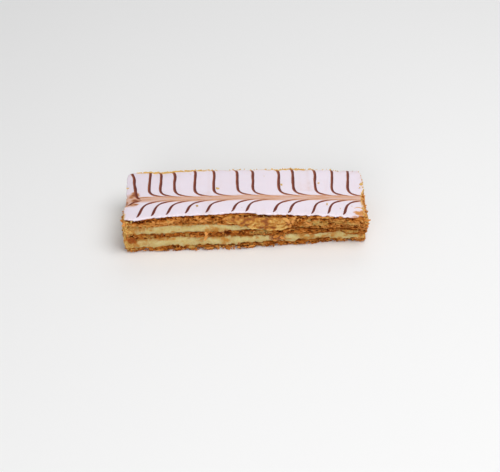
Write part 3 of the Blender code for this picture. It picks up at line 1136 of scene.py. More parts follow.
def hang_smear(settings):
    """The custard that the knife has dragged down over the front of the top sheet.

    Its section at each X is a closed loop: down the front from under the icing to a rounded lip, and
    back up inside the sheet. The front stands off the wall by a swell, with a lip at its foot that is
    a bell in the distance from it, and the whole section closes up at both ends of the smear.
    """
    start, stop = -11.5, 27.0
    along = np.linspace(0.0, 1.0, 190)[:, None]
    x = np.linspace(start * MM, stop * MM, len(along))[:, None]
    low, high, *reaches = front_rows(felt("pastry_top", WALL_INSET, settings), x)
    x = x / MM
    turn = np.linspace(0.0, 1.0, 52, endpoint=False)[None, :]
    front = turn < FRONT_SHARE
    down = np.where(front, turn / FRONT_SHARE, (1.0 - turn) / (1.0 - FRONT_SHARE))
    ends = np.clip(np.minimum(along / 0.16, (1.0 - along) / 0.20), 0.0, 1.0)
    ends = np.sqrt(1.0 - (1.0 - ends) ** 2)
    rag = cloud(701, x / 2.6, 0.5) + 0.5 * cloud(702, x / 0.9, 0.5)
    top = high - (0.9 + 0.7 * rag) * MM - (1.0 - ends) * 2.4 * MM
    fall = smooth_step(start, 4.0, x) * smooth_step(stop, 19.0, x)
    foot = blend(low + 2.4 * MM, low - 1.2 * MM, fall)
    foot = foot + 0.40 * MM * cloud(703, x / 2.6, 0.5) + 0.15 * MM * cloud(708, x / 0.9, 0.5)
    height = blend(top, foot, down)
    level = np.clip((height - low) / (high - low), 0.0, 1.0)
    place = np.interp(level, LEVELS, np.arange(len(LEVELS)))
    reach = sum(row * np.clip(1.0 - np.abs(place - index), 0.0, 1.0) for index, row in enumerate(reaches))
    z = height / MM
    lumps = rough(704, (x / 3.4, z / 2.2))
    folds = rough(705, (x / 1.3, z / 0.8))
    lip = bump_at(down, 0.95, 0.08) * (0.55 + 0.6 * cloud(706, x / 2.6, 0.3))
    stand = 0.10 + 0.30 * np.sin(math.pi * down) + 0.60 * lumps + 0.38 * folds + lip
    stand = np.where(front, stand, -0.9) * smooth_step(0.0, 0.08, down)
    y = WALL_INSET - HALF_DEPTH - reach - blend(-1.1, stand, ends) * MM
    grid = kept_in_box(np.stack(np.broadcast_arrays(x * MM, y, height), -1))[None]
    # Painted light and shade in the tone: lighter where lumps and folds stand out, a painted highlight;
    # lighter along the lip, partly its own paler custard and partly a painted highlight; and darker at the
    # top, a painted shade under the icing.
    tone = 0.33 + 0.65 * rough(707, (x / 2.3, z / 1.7)) + 0.30 * lumps + 0.30 * folds + 0.36 * lip
    tone = tone - 0.26 * smooth_step(0.18, 0.0, down) + 0.06 * smooth_step(6.0, 17.0, x)
    tone = tone + marked("flap", x, -25.0, z)
    return loft("custard_smear", grid, {"tone": np.clip(tone, 0.0, 1.0)[None]})


def golden_end(x, y):
    """How much more the custard is stained at the front of the left end, and a little at the right one."""
    left = smooth_step(-62.5, -67.0, x) * blend(0.15, 0.62, smooth_step(-4.0, -16.0, y))
    return left + 0.35 * smooth_step(65.0, 68.5, x)


def on_front(y):
    """1 on the front cut face."""
    return smooth_step(-20.0, -22.0, y)


def habit_of_upper(x, y):
    """The upper band laps down over the middle sheet at the front, left of where it is pressed. Right
    of there it has drawn in, and is stained."""
    uneven = 1.05 + 0.45 * cloud(571, x / 4.0, 0.0) + 0.25 * cloud(572, x / 1.3, 0.0)
    down = on_front(y) * smooth_step(-2.0, -8.0, x) * uneven
    pressed = on_front(y) * smooth_step(18.0, 26.0, x)
    return 0.0 * x, down, 1.3 * pressed, 0.6 * pressed + golden_end(x, y)


def habit_of_lower(x, y):
    """The lower band laps far over both its neighbours at the front of the left end."""
    front = on_front(y)
    down = 0.5 * smooth_step(-10.0, -30.0, x) * cloud(573, x / 3.0, 0.0)
    down = down + 1.3 * smooth_step(-38.0, -54.0, x)
    up = front * smooth_step(-22.0, -36.0, x) * (0.35 + 0.4 * cloud(574, x / 2.6, 0.0))
    up = up + front * 1.5 * smooth_step(46.0, 52.0, x) * smooth_step(67.5, 64.0, x)
    stained = 0.5 * front * bump_at(x, -63.0, 3.0) + 0.22 * front * smooth_step(26.0, 34.0, x)
    return up, front * down, 0.0 * x, stained + golden_end(x, y)


class SLICE_OT_spread_custard(bpy.types.Operator):
    """Fill the two bands of custard and smear custard down the front"""

    bl_idname = "mille_feuille.spread_custard"
    bl_label = "Spread Custard"

    def execute(self, context):
        settings = context.scene.mille_feuille
        material = custard_material(settings)
        bands = (
            ("cream_lower", "custard_lower", 404, habit_of_lower),
            ("cream_upper", "custard_upper", 505, habit_of_upper),
        )
        for node, piece, seed, habit in bands:
            add_piece(spread_band(node, piece, seed, habit, settings), material, "custard", node)
        add_piece(hang_smear(settings), smear_material(), "custard")
        return {"FINISHED"}


# ---- Icing -------------------------------------------------------


# The drag line is the parabola y = WAIST_Y + DRAG_RISE ((x - WAIST_X) / DRAG_SPAN)^2, in mm.
WAIST_X, WAIST_Y = -6.0, -6.5
DRAG_RISE, DRAG_SPAN = 1.5, 62.0


def drag_line(x):
    """Y of the line along which the tool was dragged: a shallow parabola."""
    return (WAIST_Y + DRAG_RISE * ((x / MM - WAIST_X) / DRAG_SPAN) ** 2) * MM


def carried(off, icing):
    """How far the tool has carried a point along X, from its distance off the drag line.

    It is drag_reach * exp(-(|off| - drag_track) / drag_fade).
    """
    return icing.drag_reach * np.exp((icing.drag_track - np.abs(off)) / icing.drag_fade)


def drag_track():
    """Node group: how far a point of the icing lies off the drag line, in millimetres.

    Off is y less the height of drag_line's parabola. Streak is noise over x and Off that is drawn out
    along X, so it follows the track.
    """
    group, entry, end = effect_group("Drag Track", {"Streak Width": 0.6}, ("Off", "Streak"))
    if entry is None:
        return group
    apart = add(group, "ShaderNodeSeparateXYZ", {0: object_point(group)})
    x = math_node(group, "MULTIPLY", apart.outputs["X"], 1.0 / MM)
    y = math_node(group, "MULTIPLY", apart.outputs["Y"], 1.0 / MM)
    from_waist = math_node(group, "DIVIDE", math_node(group, "SUBTRACT", x, WAIST_X), DRAG_SPAN)
    rise = math_node(group, "MULTIPLY", math_node(group, "MULTIPLY", from_waist, from_waist), DRAG_RISE)
    off = math_node(group, "SUBTRACT", math_node(group, "SUBTRACT", y, WAIST_Y), rise)
    narrow = math_node(group, "DIVIDE", off, entry.outputs["Streak Width"])
    drawn_out = {"X": math_node(group, "MULTIPLY", x, 0.05), "Y": narrow}
    drawn_out = add(group, "ShaderNodeCombineXYZ", drawn_out)
    streak = noise(group, drawn_out.outputs[0], 1.0, 3.0, 0.6)
    group.links.new(off, end.inputs["Off"])
    group.links.new(streak, end.inputs["Streak"])
    return group


# The colours of brown icing that is smudged into the white, where it is thin and where it is thick.
SMUDGE_THIN = (0.56, 0.235, 0.085)
SMUDGE_THICK = (0.30, 0.082, 0.026)


def icing_material(settings):
    """Set sugar icing: lavender white and softly glossy, with the caramel band of the drag in it, and
    painted shade on its rim's wall.
    """
    icing = settings.icing
    plain = {"Roughness": 0.38, "Coat Weight": 0.12, "Coat Roughness": 0.35}
    plain |= lit_through(0.22, 1.2 * MM, (1.0, 0.85, 0.8))
    material, tree, shader = new_material("Icing", plain)
    patches = grain(tree, 4.0 * MM)
    tone = math_node(tree, "MULTIPLY", patches["Tone"], 0.22)
    white = mixed(tree, tone, icing.white, scaled(icing.white, (0.90, 0.90, 0.90)))
    track = add(tree, "ShaderNodeGroup", node_tree=drag_track())
    track.inputs["Streak Width"].default_value = 0.55
    streak = track.outputs["Streak"]
    wobble = math_node(tree, "MULTIPLY", math_node(tree, "SUBTRACT", streak, 0.5), 1.3)
    off = math_node(tree, "ABSOLUTE", math_node(tree, "ADD", track.outputs["Off"], wobble))
    mixed_in = window(tree, off, 2.95, 1.80)
    mixed_in = math_node(tree, "MULTIPLY", mixed_in, reading(tree, "band"))
    paler = between(icing.caramel, icing.white, 0.5)
    band = mixed(tree, window(tree, streak, 0.46, 0.66), icing.caramel, paler)
    deeper = scaled(icing.caramel, (0.70, 0.52, 0.45))
    band = mixed(tree, window(tree, streak, 0.46, 0.28), band, deeper)
    colour = mixed(tree, mixed_in, white, band)
    colour = mixed(tree, math_node(tree, "MULTIPLY", reading(tree, "peach"), 0.80), colour, icing.caramel)
    smudge = reading(tree, "smudge")
    colour = mixed(tree, window(tree, smudge, 0.0, 0.55), colour, SMUDGE_THIN)
    colour = mixed(tree, window(tree, smudge, 0.40, 1.0), colour, SMUDGE_THICK)
    fine = grain(tree, 0.8 * MM)
    yellow, bake = settings.scatter.yellow, settings.bake
    rim = mixed(tree, fine["Speck"], yellow, between(yellow, bake.pale, 0.4))
    colour = mixed(tree, reading(tree, "crumbed"), colour, rim)
    under = mixed(tree, fine["Speck"], bake.golden, bake.pale)
    colour = mixed(tree, reading(tree, "worn"), colour, under)
    # Painted shade on the rim's wall, darker and warmer towards its foot.
    colour = mixed(tree, reading(tree, "rim_wall_shade"), colour, scaled(icing.white, (0.84, 0.68, 0.56)))
    dress(tree, shader, colour, patches["Relief"], 0.05 * MM, 0.35)
    return material


# The number of rings from the icing's rounded rim to its middle line.
ICING_RINGS = 56


def icing_height(cover, x, y):
    """The icing's top: the felt cover, a faint swell, and a shallow furrow along the drag line."""
    place = x / MM, y / MM
    swell = 0.07 * blotch(601, place, 9.0) + 0.03 * blotch(602, place, 2.4)
    furrow = 0.10 * bump_at(y, drag_line(x), 1.6 * MM)
    return cover.at(x, y) + (swell - furrow) * MM


def rim_drop(inset, icing):
    """How far the icing's top lies under its level near the rim: a quarter circle and a soft sag."""
    radius = icing.rim_radius
    short = np.clip(radius - inset, 0.0, radius)
    return radius - np.sqrt(radius**2 - short**2) + 0.30 * MM * np.exp(-np.maximum(inset, 0.0) / (1.8 * MM))


def set_back(track):
    """How far the icing's edge lies in from its solid, all round: more at mid front, and scalloped."""
    x, y = outline = track.place
    front = smooth_step(-18.0, -21.0, y)
    middle = bump_at(x, -7.0, 11.0)
    corner = bump_at(x, -70.0, 3.0) * bump_at(y, 23.0, 4.0)
    slow = 0.28 * blotch(611, outline, 7.0) + 0.30 * front * blotch(617, outline, 3.8)
    quick = 0.34 * blotch(612, outline, 2.1) + 0.22 * blotch(613, outline, 0.9)
    torn = 1.0 + 0.7 * front * smooth_step(10.0, 25.0, x)
    left = smooth_step(-69.0, -71.0, x) * (0.45 + 0.35 * smooth_step(-5.0, 5.0, y))
    right = 1.9 * smooth_step(67.0, 70.0, x) * smooth_step(-3.0, 6.0, y)
    behind = smooth_step(21.0, 23.0, y) * (1.3 * bump_at(x, 21.0, 6.0) + 1.3 * bump_at(x, 57.0, 4.0))
    out = left + right + 1.1 * front * bump_at(x, 10.5, 5.0)
    return (0.55 + 0.6 * front * middle + 0.5 * corner + behind - out + slow + torn * quick) * MM


def icing_edge(skin):
    """The reach of the icing's edge along each column."""
    return skin.wall(0.5) - set_back(skin.track)


def crumb_border(outline, from_rim, patchy):
    """Where crumbs cling to the rim, in a border that has its own width and density on each side."""
    x, y = outline
    wider = (y > 22.0) * 0.45 + (x > 70.0) * smooth_step(4.0, -17.0, y) * 0.7
    wide = (0.5 + 0.6 * patchy + wider) * MM
    border = smooth_step(wide + 0.3 * MM, wide - 0.3 * MM, from_rim)
    back = bump_at(x, -44.0, 20.0) * smooth_step(-64.0, -61.5, x) + 0.7 * bump_at(x, 28.0, 12.0)
    back = (y > 22.0) * (x > -62.0) * (0.12 + 1.8 * back)
    left = (x < -70.0) * smooth_step(-6.0, -18.0, y) * 0.9
    right = (x > 70.0) * smooth_step(17.0, 13.0, y) * 1.2
    return border * np.maximum.reduce([back, left, right]) * (0.8 + 0.8 * patchy)


# Brown blots where the tool was set down: X and distance off the drag line, half length and half width,
# all in mm, and strength. The streaks of the drag run through all of them.
BLOTS = (
    (-63.0, 4.9, 1.8, 2.0, 1.20), (-62.0, 3.6, 1.5, 0.9, 0.90), (-64.9, 3.0, 1.4, 1.2, 0.95),
    (-63.1, -0.2, 1.6, 0.9, 1.50), (-67.5, -3.2, 0.9, 2.0, 0.95), (-62.6, -1.7, 1.5, 0.7, 1.50),
    (-65.0, -4.2, 1.6, 0.5, 0.90), (-62.3, -4.4, 1.3, 0.5, 0.80),
)


def icing_colours(grid, foot, from_rim, outline):
    """The icing's attributes: where it is brown, peach, crumbed or worn, and where its rim's wall takes
    painted shade, from 0 to 1.
    """
    x, y = grid[..., 0] / MM, grid[..., 1] / MM
    off = (grid[..., 1] - drag_line(grid[..., 0])) / MM
    patchy = rough(622, (x / 2.6, y / 1.6))
    streaks = rough(623, (x / 3.4, off / 0.9), octaves=2)
    smudge = bump_at(x, -63.6, 2.8) * bump_at(off, -3.2, 1.7) * (0.45 + 1.5 * streaks)
    for middle_x, middle_off, wide, deep, strength in BLOTS:
        blot = bump_at(x, middle_x, wide) * bump_at(off, middle_off, deep)
        smudge = np.maximum(smudge, strength * blot * (1.15 + 0.8 * streaks))
    smudge = np.maximum(smudge, 0.8 * bump_at(x, 63.2, 2.8) * bump_at(y, -21.1, 0.5))
    # A thin line that the first back line leaves along the track.
    smudge = np.maximum(smudge, 0.75 * bump_at(x, -57.5, 4.0) * bump_at(off, 1.9, 0.40))
    # The peach patch that the tool has spread where it was set down.
    peach = smooth_step(-60.5, -64.5, x) * smooth_step(6.8, 4.6, off)
    peach = peach * smooth_step(-6.8, -5.2, off) * (0.80 + 0.5 * patchy)
    worn = bump_at(x, 65.8, 4.6) * bump_at(y, -18.2, 2.5) * (1.35 + 1.5 * patchy)
    streaky = 0.30 * rough(625, (x / 1.3, y / 0.5), octaves=2)
    worn = smooth_step(0.30, 0.80, worn + streaky) * (worn > 0.08)
    # Painted shade: the rim's wall is darker and warmer than the top, most of all towards its foot.
    rim_wall_shade = 0.35 + 0.30 * rough(624, (x, y), 1.5, octaves=2)
    rim_wall_shade = rim_wall_shade * smooth_step(1.25 * MM, 0.2 * MM, grid[..., 2] - foot)
    values = {
        "band": smooth_step(-68.0, -58.0, x) * 0.75 + 0.25,
        "smudge": smudge,
        "peach": peach,
        "crumbed": crumb_border(outline, from_rim, patchy),
        "worn": worn,
        "rim_wall_shade": rim_wall_shade,
    }
    return {title: np.clip(value, 0.0, 1.0)[None] for title, value in values.items()}


def pour_icing(cover, settings):
    """The icing: rings from its underside out, up its thin wall, and in to the middle line."""
    icing = settings.icing
    skin = felt("icing", HALF_DEPTH, settings)
    track = skin.track
    edge = icing_edge(skin)
    half = edge.min()
    near_rim = np.linspace(0.0, icing.rim_radius, 7)[:-1]
    inset = np.concatenate([near_rim, np.linspace(icing.rim_radius, half, ICING_RINGS)])
    # Rings are close to even at the rim, and stretch to fill the corners towards the middle line.
    inset = inset[:, None] * (edge / half)[None, :] ** smooth_step(0.0, half, inset)[:, None]
    inset = np.minimum(inset, edge)
    over = track.spread(edge - inset, 0.0)
    over[..., 2] = icing_height(cover, over[..., 0], over[..., 1]) - rim_drop(inset, icing)
    outline = track.place
    sag = 0.24 + 0.50 * blotch(614, outline, 3.4) + 0.26 * blotch(615, outline, 1.1)
    foot = skin.low - sag * MM
    part = np.linspace(0.0, 1.0, 9)[:-1, None]
    swell = 0.16 * MM * np.sin(math.pi * part) - 0.34 * MM * (1.0 - part) ** 2
    height = blend(foot, over[0, :, 2], part)
    dents = 0.12 * MM * rough(616, (*outline, height / MM), 1.3, 0.8, 2)
    wall = track.spread(edge + swell + dents * (1.0 - part), height)
    under = [track.spread(edge - back * MM, foot) for back in (9.0, 4.0, 1.5, 0.7)]
    grid = kept_in_box(np.concatenate([np.array(under), wall, over]))
    from_rim = np.concatenate([np.zeros((len(grid) - len(inset), track.count)), inset])
    return loft("icing_sheet", grid[None], icing_colours(grid, foot, from_rim, outline), seam=True)


BACK_Y, FRONT_Y = 6.0 * MM, -19.0 * MM
# Each piped line in millimetres: its X at BACK_Y, its X at FRONT_Y, the Y of its front tip, how far it
# hooks to the left at its back end, and how much it leans on its back half. The tool was set down at the
# first one, and has carried it less.
PIPED_LINES = (
    (-63.15, -68.9, -9.9, 1.3, -0.07),
    (-55.0, -60.4, -20.9, 0.5, 0.06),
    (-48.4, -52.4, -20.4, 1.6, 0.05),
    (-40.3, -44.0, -19.9, 1.9, 0.03),
    (-28.5, -33.4, -19.3, 1.1, 0.05),
    (-17.6, -22.0, -19.2, 1.5, 0.06),
    (-3.9, -7.5, -18.9, 1.6, 0.04),
    (5.1, 0.5, -19.0, 1.8, 0.06),
    (20.2, 16.2, -19.1, 1.5, 0.06),
    (28.6, 24.8, -19.5, 1.5, 0.06),
    (41.4, 38.1, -20.2, 1.4, 0.08),
    (51.2, 47.1, -19.9, 0.9, 0.11),
    (60.5, 56.1, -20.1, 0.6, 0.13),
)
# How much every line leans on its front half, and the number of stations along half a line.
FRONT_LEAN = 0.25
LINE_STATIONS = 110
# The colours of a line where it thins out.
LINE_RED = (0.27, 0.062, 0.028)
LINE_ORANGE = (0.44, 0.160, 0.060)


def cocoa_material(settings):
    """The brown icing of the lines, which thins out to caramel where the tool has drawn it out."""
    icing = settings.icing
    plain = {"Roughness": 0.5, "Specular IOR Level": 0.25}
    material, tree, shader = new_material("Cocoa Icing", plain)
    fine = grain(tree, 1.1 * MM)
    thin = added(tree, reading(tree, "thin"), fine["Tone"], 0.16)
    stops = ((0.12, icing.cocoa), (0.38, LINE_RED), (0.72, LINE_ORANGE), (1.0, icing.caramel))
    dress(tree, shader, ramp(tree, thin, *stops), fine["Relief"], 0.03 * MM, 0.4)
    return material


def tip_narrowing(from_end):
    """The share of its width that a strip has near its front tip, which is a half circle."""
    rounding = np.clip(from_end / (0.8 * MM), 0.0, 1.0)
    rounding = np.sqrt(np.clip(1.0 - (1.0 - rounding) ** 2, 0.03, 1.0))
    return rounding * blend(0.60, 0.94, smooth_step(0.0, 2.6 * MM, from_end))


def drag_lines(cover, settings):
    """The piped lines, each a straight strip that the tool has carried along X.

    A strip runs from the back edge to the drag line, or from there to its front tip. Its point at
    distance off the drag line goes to x + carried(off), so it thins out by itself as it turns along
    the track, down to a least width. Its section is a low arch: height * sqrt(1 - q^2) for q from -1
    to 1 across the strip.
    """
    icing = settings.icing
    skin = felt("icing", HALF_DEPTH, settings)
    outline = skin.track.spread(icing_edge(skin), 0.0)
    order = np.argsort(outline[:, 0])
    order = order[outline[order, 1] > 10.0 * MM]
    edge_x, edge_y = outline[order, 0], outline[order, 1]
    table = np.array(PIPED_LINES) * np.array([MM, MM, MM, MM, 1.0])
    x_back, x_front, tip, hook, lean = (np.repeat(column, 2)[:, None] for column in table.T)
    index = np.repeat(np.arange(len(table)), 2)[:, None].astype(float)
    side = np.tile([1.0, -1.0], len(table))[:, None]
    behind = side > 0.0
    end = np.where(behind, np.interp(x_back, edge_x, edge_y) - 0.1 * MM, tip)
    far_off = np.abs(end - drag_line(np.where(behind, x_back, x_front)))
    near_off = (0.45 + 0.35 * (index % 3)) * MM
    # No tail is drawn out past the right end.
    longest = HALF_LENGTH - 2.6 * MM - np.where(behind, x_back, x_front + 3.5 * MM)
    near_off = np.maximum(near_off, icing.drag_track - icing.drag_fade * np.log(longest / icing.drag_reach))
    # Stations are closer together near the drag line, where the strips turn.
    station = np.linspace(0.0, 1.0, LINE_STATIONS)[None, :] ** 1.6
    off = near_off + (far_off - near_off) * station
    # The first line is carried less, and has a longer hook at its back end.
    tail = carried(off, icing) * np.where(index > 0.0, 1.0, np.where(behind, 0.12, 0.33))
    y_guess = drag_line(x_back + 0.5 * tail) + side * off
    at_back, at_front = x_back + lean * (y_guess - BACK_Y), x_front + FRONT_LEAN * (y_guess - FRONT_Y)
    straight = np.where(behind, at_back, at_front)
    from_end = far_off - off
    hooked = np.where(behind, np.where(index > 0.0, 1.3, 3.5), 0.8) * MM
    straight = straight - np.where(behind, hook, 0.7 * MM) * np.exp(-from_end / hooked)
    straight = straight + 0.16 * MM * cloud(633, off / (5.0 * MM), index * 3.7)
    width = icing.line_width * (1.0 + 0.12 * cloud(634, off / (3.5 * MM), index * 5.1))
    width = width * np.where(behind, 1.0, tip_narrowing(from_end))
    # A strip narrows by a square root to where it runs out along the track.
    taper = np.sqrt(np.clip((off - near_off) / (0.5 * MM), 0.01, 1.0))
    width = width * blend(1.0, taper, smooth_step(3.5 * MM, 2.0 * MM, off))
    drawn_out = smooth_step(0.8 * MM, 4.0 * MM, tail) * smooth_step(34.0 * MM, 6.0 * MM, tail)
    least = icing.tail_width * drawn_out * taper
    turn = np.linspace(0.0, 2.0 * math.pi, 13)[:-1]
    q = np.cos(turn)
    on_top = np.sin(turn) > 0.01
    x = straight[..., None] + tail[..., None] + 0.5 * width[..., None] * q
    y = drag_line(x) + side[..., None] * (off[..., None] + 0.5 * least[..., None] * q)
    arch = np.where(on_top, icing.line_height * np.sqrt(np.maximum(1.0 - q**2, 0.0)), -0.12 * MM)
    arch = np.where(np.abs(q) > 0.99, -0.02 * MM, arch)
    over_rim = np.where(behind[..., None], rim_drop(np.interp(x, edge_x, edge_y) - y, icing), 0.0)
    z = icing_height(cover, x, y) + arch - over_rim
    grid = kept_in_box(np.stack([x, y, z], -1))
    # Strips on the back side run away from the drag line, so their rows are turned round to face out.
    grid = np.where(behind[..., None, None], grid[:, :, ::-1], grid)
    thin = 0.85 * smooth_step(0.4 * MM, 13.0 * MM, tail)[..., None] + 0.55 * q**4
    smeared = np.exp(-from_end / (1.1 * MM)) * np.clip(hook / (2.0 * MM), 0.0, 1.0) * behind
    thin = np.clip(thin + 0.7 * smeared[..., None], 0.0, 1.0)
    return loft("cocoa_lines", grid, {"thin": thin})


class SLICE_OT_pour_icing(bpy.types.Operator):
    """Pour the icing and drag the brown lines through it"""

    bl_idname = "mille_feuille.pour_icing"
    bl_label = "Pour Icing"

    def execute(self, context):
        settings = context.scene.mille_feuille
        cover = icing_cover()
        add_piece(pour_icing(cover, settings), icing_material(settings), "icing", "icing")
        add_piece(drag_lines(cover, settings), cocoa_material(settings), "cocoa")
        return {"FINISHED"}


# ---- Loose flakes and crumbs -------------------------------------


def crumb_material(settings):
    """Loose bits of baked pastry: each bit has its own tone, with a fine grain over it."""
    plain = {"Roughness": 0.60, "Specular IOR Level": 0.15, **lit_through(0.08, 0.5 * MM, (1.0, 0.2, 0.1))}
    material, tree, shader = new_material("Flakes and Crumbs", plain)
    fine = grain(tree, 0.45 * MM)
    tone = added(tree, math_node(tree, "ADD", reading(tree, "tone"), -0.15), fine["Speck"], 0.30)
    baked = baked_ramp(tree, tone, settings.bake)
    colour = mixed(tree, reading(tree, "yellow"), baked, settings.scatter.yellow)
    dress(tree, shader, colour, fine["Relief"], 0.10 * MM, 0.7)
    return material


def frames(normal, spin):
    """Two unit directions across each normal, turned about it by the spin."""
    helper = np.where(np.abs(normal[:, 2:]) < 0.9, [[0.0, 0.0, 1.0]], [[1.0, 0.0, 0.0]])
    first = np.cross(helper, normal)
    first /= np.linalg.norm(first, axis=1, keepdims=True)
    second = np.cross(normal, first)
    cosine, sine = np.cos(spin)[:, None], np.sin(spin)[:, None]
    return first * cosine + second * sine, second * cosine - first * sine


def moved_in_box(grid):
    """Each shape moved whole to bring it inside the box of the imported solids.

    What stands out at the top is cut off flat, down to the lowest 0.12 mm of the shape.
    """
    low, high = grid.min(axis=(1, 2), keepdims=True), grid.max(axis=(1, 2), keepdims=True)
    high[..., 2] = low[..., 2] + 0.12 * MM
    return kept_in_box(grid + np.maximum(BOX_LOW - low, 0.0) - np.maximum(high - BOX_HIGH, 0.0))


def shards(name, seed, centre, normal, spin, half_length, half_width, tone):
    """Thin curved flakes.

    Each is a disc with a jagged outline, 1 + 0.45 noise round its turn, bent by the square of the
    distance along it, and about 0.12 mm thick, thinning out over the last tenth. A tone over 1 makes
    it custard yellow.
    """
    count = len(centre)
    draw = np.random.default_rng(seed)
    turn = np.linspace(0.0, 2.0 * math.pi, 11)[:-1]
    rings = np.array([0.5, 0.92, 1.0, 0.92, 0.5])
    lift = np.array([-1.0, -1.0, 0.0, 1.0, 1.0]) * 0.06 * MM
    number = np.arange(count)[:, None]
    jag = 1.0 + 0.45 * cloud(seed, number * 1.37, np.cos(turn) * 1.8, np.sin(turn) * 1.8)
    u = rings[None, :, None] * (np.cos(turn) * jag)[:, None, :]
    v = rings[None, :, None] * (np.sin(turn) * jag)[:, None, :]
    bend = draw.uniform(-0.25, 0.40, (count, 1, 1)) * half_length[:, None, None]
    height = bend * (u**2 - 0.3) + lift[None, :, None]
    first, second = frames(normal, spin)
    grid = (
        centre[:, None, None]
        + first[:, None, None] * (u * half_length[:, None, None])[..., None]
        + second[:, None, None] * (v * half_width[:, None, None])[..., None]
        + normal[:, None, None] * height[..., None]
    )
    shade = tone[:, None, None] + 0.18 * (u**2 + v**2 - 0.5)
    yellow = np.clip(tone - 1.0, 0.0, 1.0)[:, None, None]
    return loft(name, moved_in_box(grid), {"tone": np.minimum(shade, 1.1), "yellow": yellow})


def nuggets(name, seed, centre, size, tone, yellow):
    """Crumbs: balls of six sides, each squashed by its own factors along X, Y and Z. The radius of every
    point is drawn from 0.6 to 1.4 times the crumb's size. They are shaded flat."""
    draw = np.random.default_rng(seed)
    polar = np.linspace(0.0, math.pi, 6)[1:-1][::-1, None]
    turn = np.linspace(0.0, 2.0 * math.pi, 7)[:-1][None, :]
    flat = np.sin(polar)
    way = np.broadcast_arrays(flat * np.cos(turn), flat * np.sin(turn), np.cos(polar))
    way = np.stack(way, -1)
    lumpy = 1.0 + draw.uniform(-0.40, 0.40, (len(centre),) + way.shape[:2])
    squash = draw.uniform(0.55, 1.35, (len(centre), 1, 1, 3))
    grid = centre[:, None, None] + way[None] * lumpy[..., None] * squash * size[:, None, None, None]
    attributes = {"tone": tone[:, None, None], "yellow": yellow[:, None, None]}
    mesh = loft(name, moved_in_box(grid), attributes)
    mesh.shade_flat()
    return mesh


def on_wall(draw, node, count, levels, weight, settings):
    """Random places on a node's cut faces: points and outward directions."""
    skin = felt(node, WALL_INSET, settings)
    track = skin.track
    chance = weight(*track.place)
    column = draw.choice(track.count, count, p=chance / chance.sum())
    level = draw.uniform(*levels, count)
    reach = icing_edge(skin)[column] if node == "icing" else skin.at(level, column)
    height = blend(skin.low[column], skin.high[column], level)
    way = track.way[column]
    point = np.concatenate([track.root[column] + way * reach[:, None], height[:, None]], axis=1)
    return point, np.concatenate([way, np.zeros((count, 1))], axis=1)


def all_round(x, y):
    """Evenly along the outline, but for few on the left end behind its front corner."""
    return 1.0 - 0.92 * (x < -68.5) * (y > -17.0)


def but_left(x, y):
    """Along the outline, but not on the left end behind its front corner, and few on the right one."""
    return 1.0 - (x < -68.5) * (y > -17.0) - 0.6 * (x > 68.5)


def near_ends(x, y):
    """On both cut ends and the corners beside them, but not far back on the left one."""
    far_back = np.where(x < 0.0, 0.0, 0.35)
    return smooth_step(65.5, 68.5, np.abs(x)) * (far_back + (1.0 - far_back) * smooth_step(-10.0, -19.0, y))


def left_end(x, y):
    """On the left end, and on the front beside it."""
    return smooth_step(-63.0, -68.0, x) * smooth_step(-15.0, -22.0, y)


def right_end(x, y):
    """On the right end, and on the front beside it."""
    return smooth_step(62.0, 68.0, x) * (0.2 + smooth_step(-10.0, -22.0, y))


def back_edge(x, y):
    """Along the back, most of it left of the middle and towards the right end."""
    along = bump_at(x, -44.0, 17.0) * smooth_step(-64.0, -61.5, x)
    return (1.5 * along + 0.8 * bump_at(x, 28.0, 11.0) + 0.06 * (np.abs(x) < 60.0)) * (y > 22.0)


def icing_left(x, y):
    """The left edge, most of all at its front half."""
    return (x < -70.0) * (0.25 + smooth_step(5.0, -18.0, y))


def icing_right(x, y):
    """The right edge, but for its back."""
    return (x > 70.0) * (0.05 + smooth_step(18.0, 13.0, y))


# Flakes: node, number, range of levels, of half lengths in mm and of tones, and where along the outline.
FLAKE_GROUPS = (
    ("pastry_top", 420, (0.04, 0.95), (0.40, 1.10), (0.45, 1.00), but_left),
    ("pastry_middle", 300, (0.05, 0.95), (0.40, 1.00), (0.35, 0.95), all_round),
    ("pastry_bottom", 330, (0.10, 0.95), (0.40, 1.10), (0.40, 1.00), all_round),
    ("pastry_top", 70, (0.30, 1.00), (0.70, 1.60), (0.70, 1.00), near_ends),
    ("pastry_middle", 40, (0.10, 0.90), (0.60, 1.30), (0.50, 0.95), near_ends),
    ("cream_upper", 34, (0.10, 0.95), (0.50, 1.20), (0.60, 1.00), near_ends),
    ("cream_lower", 40, (0.10, 0.95), (0.50, 1.30), (0.60, 1.00), near_ends),
)


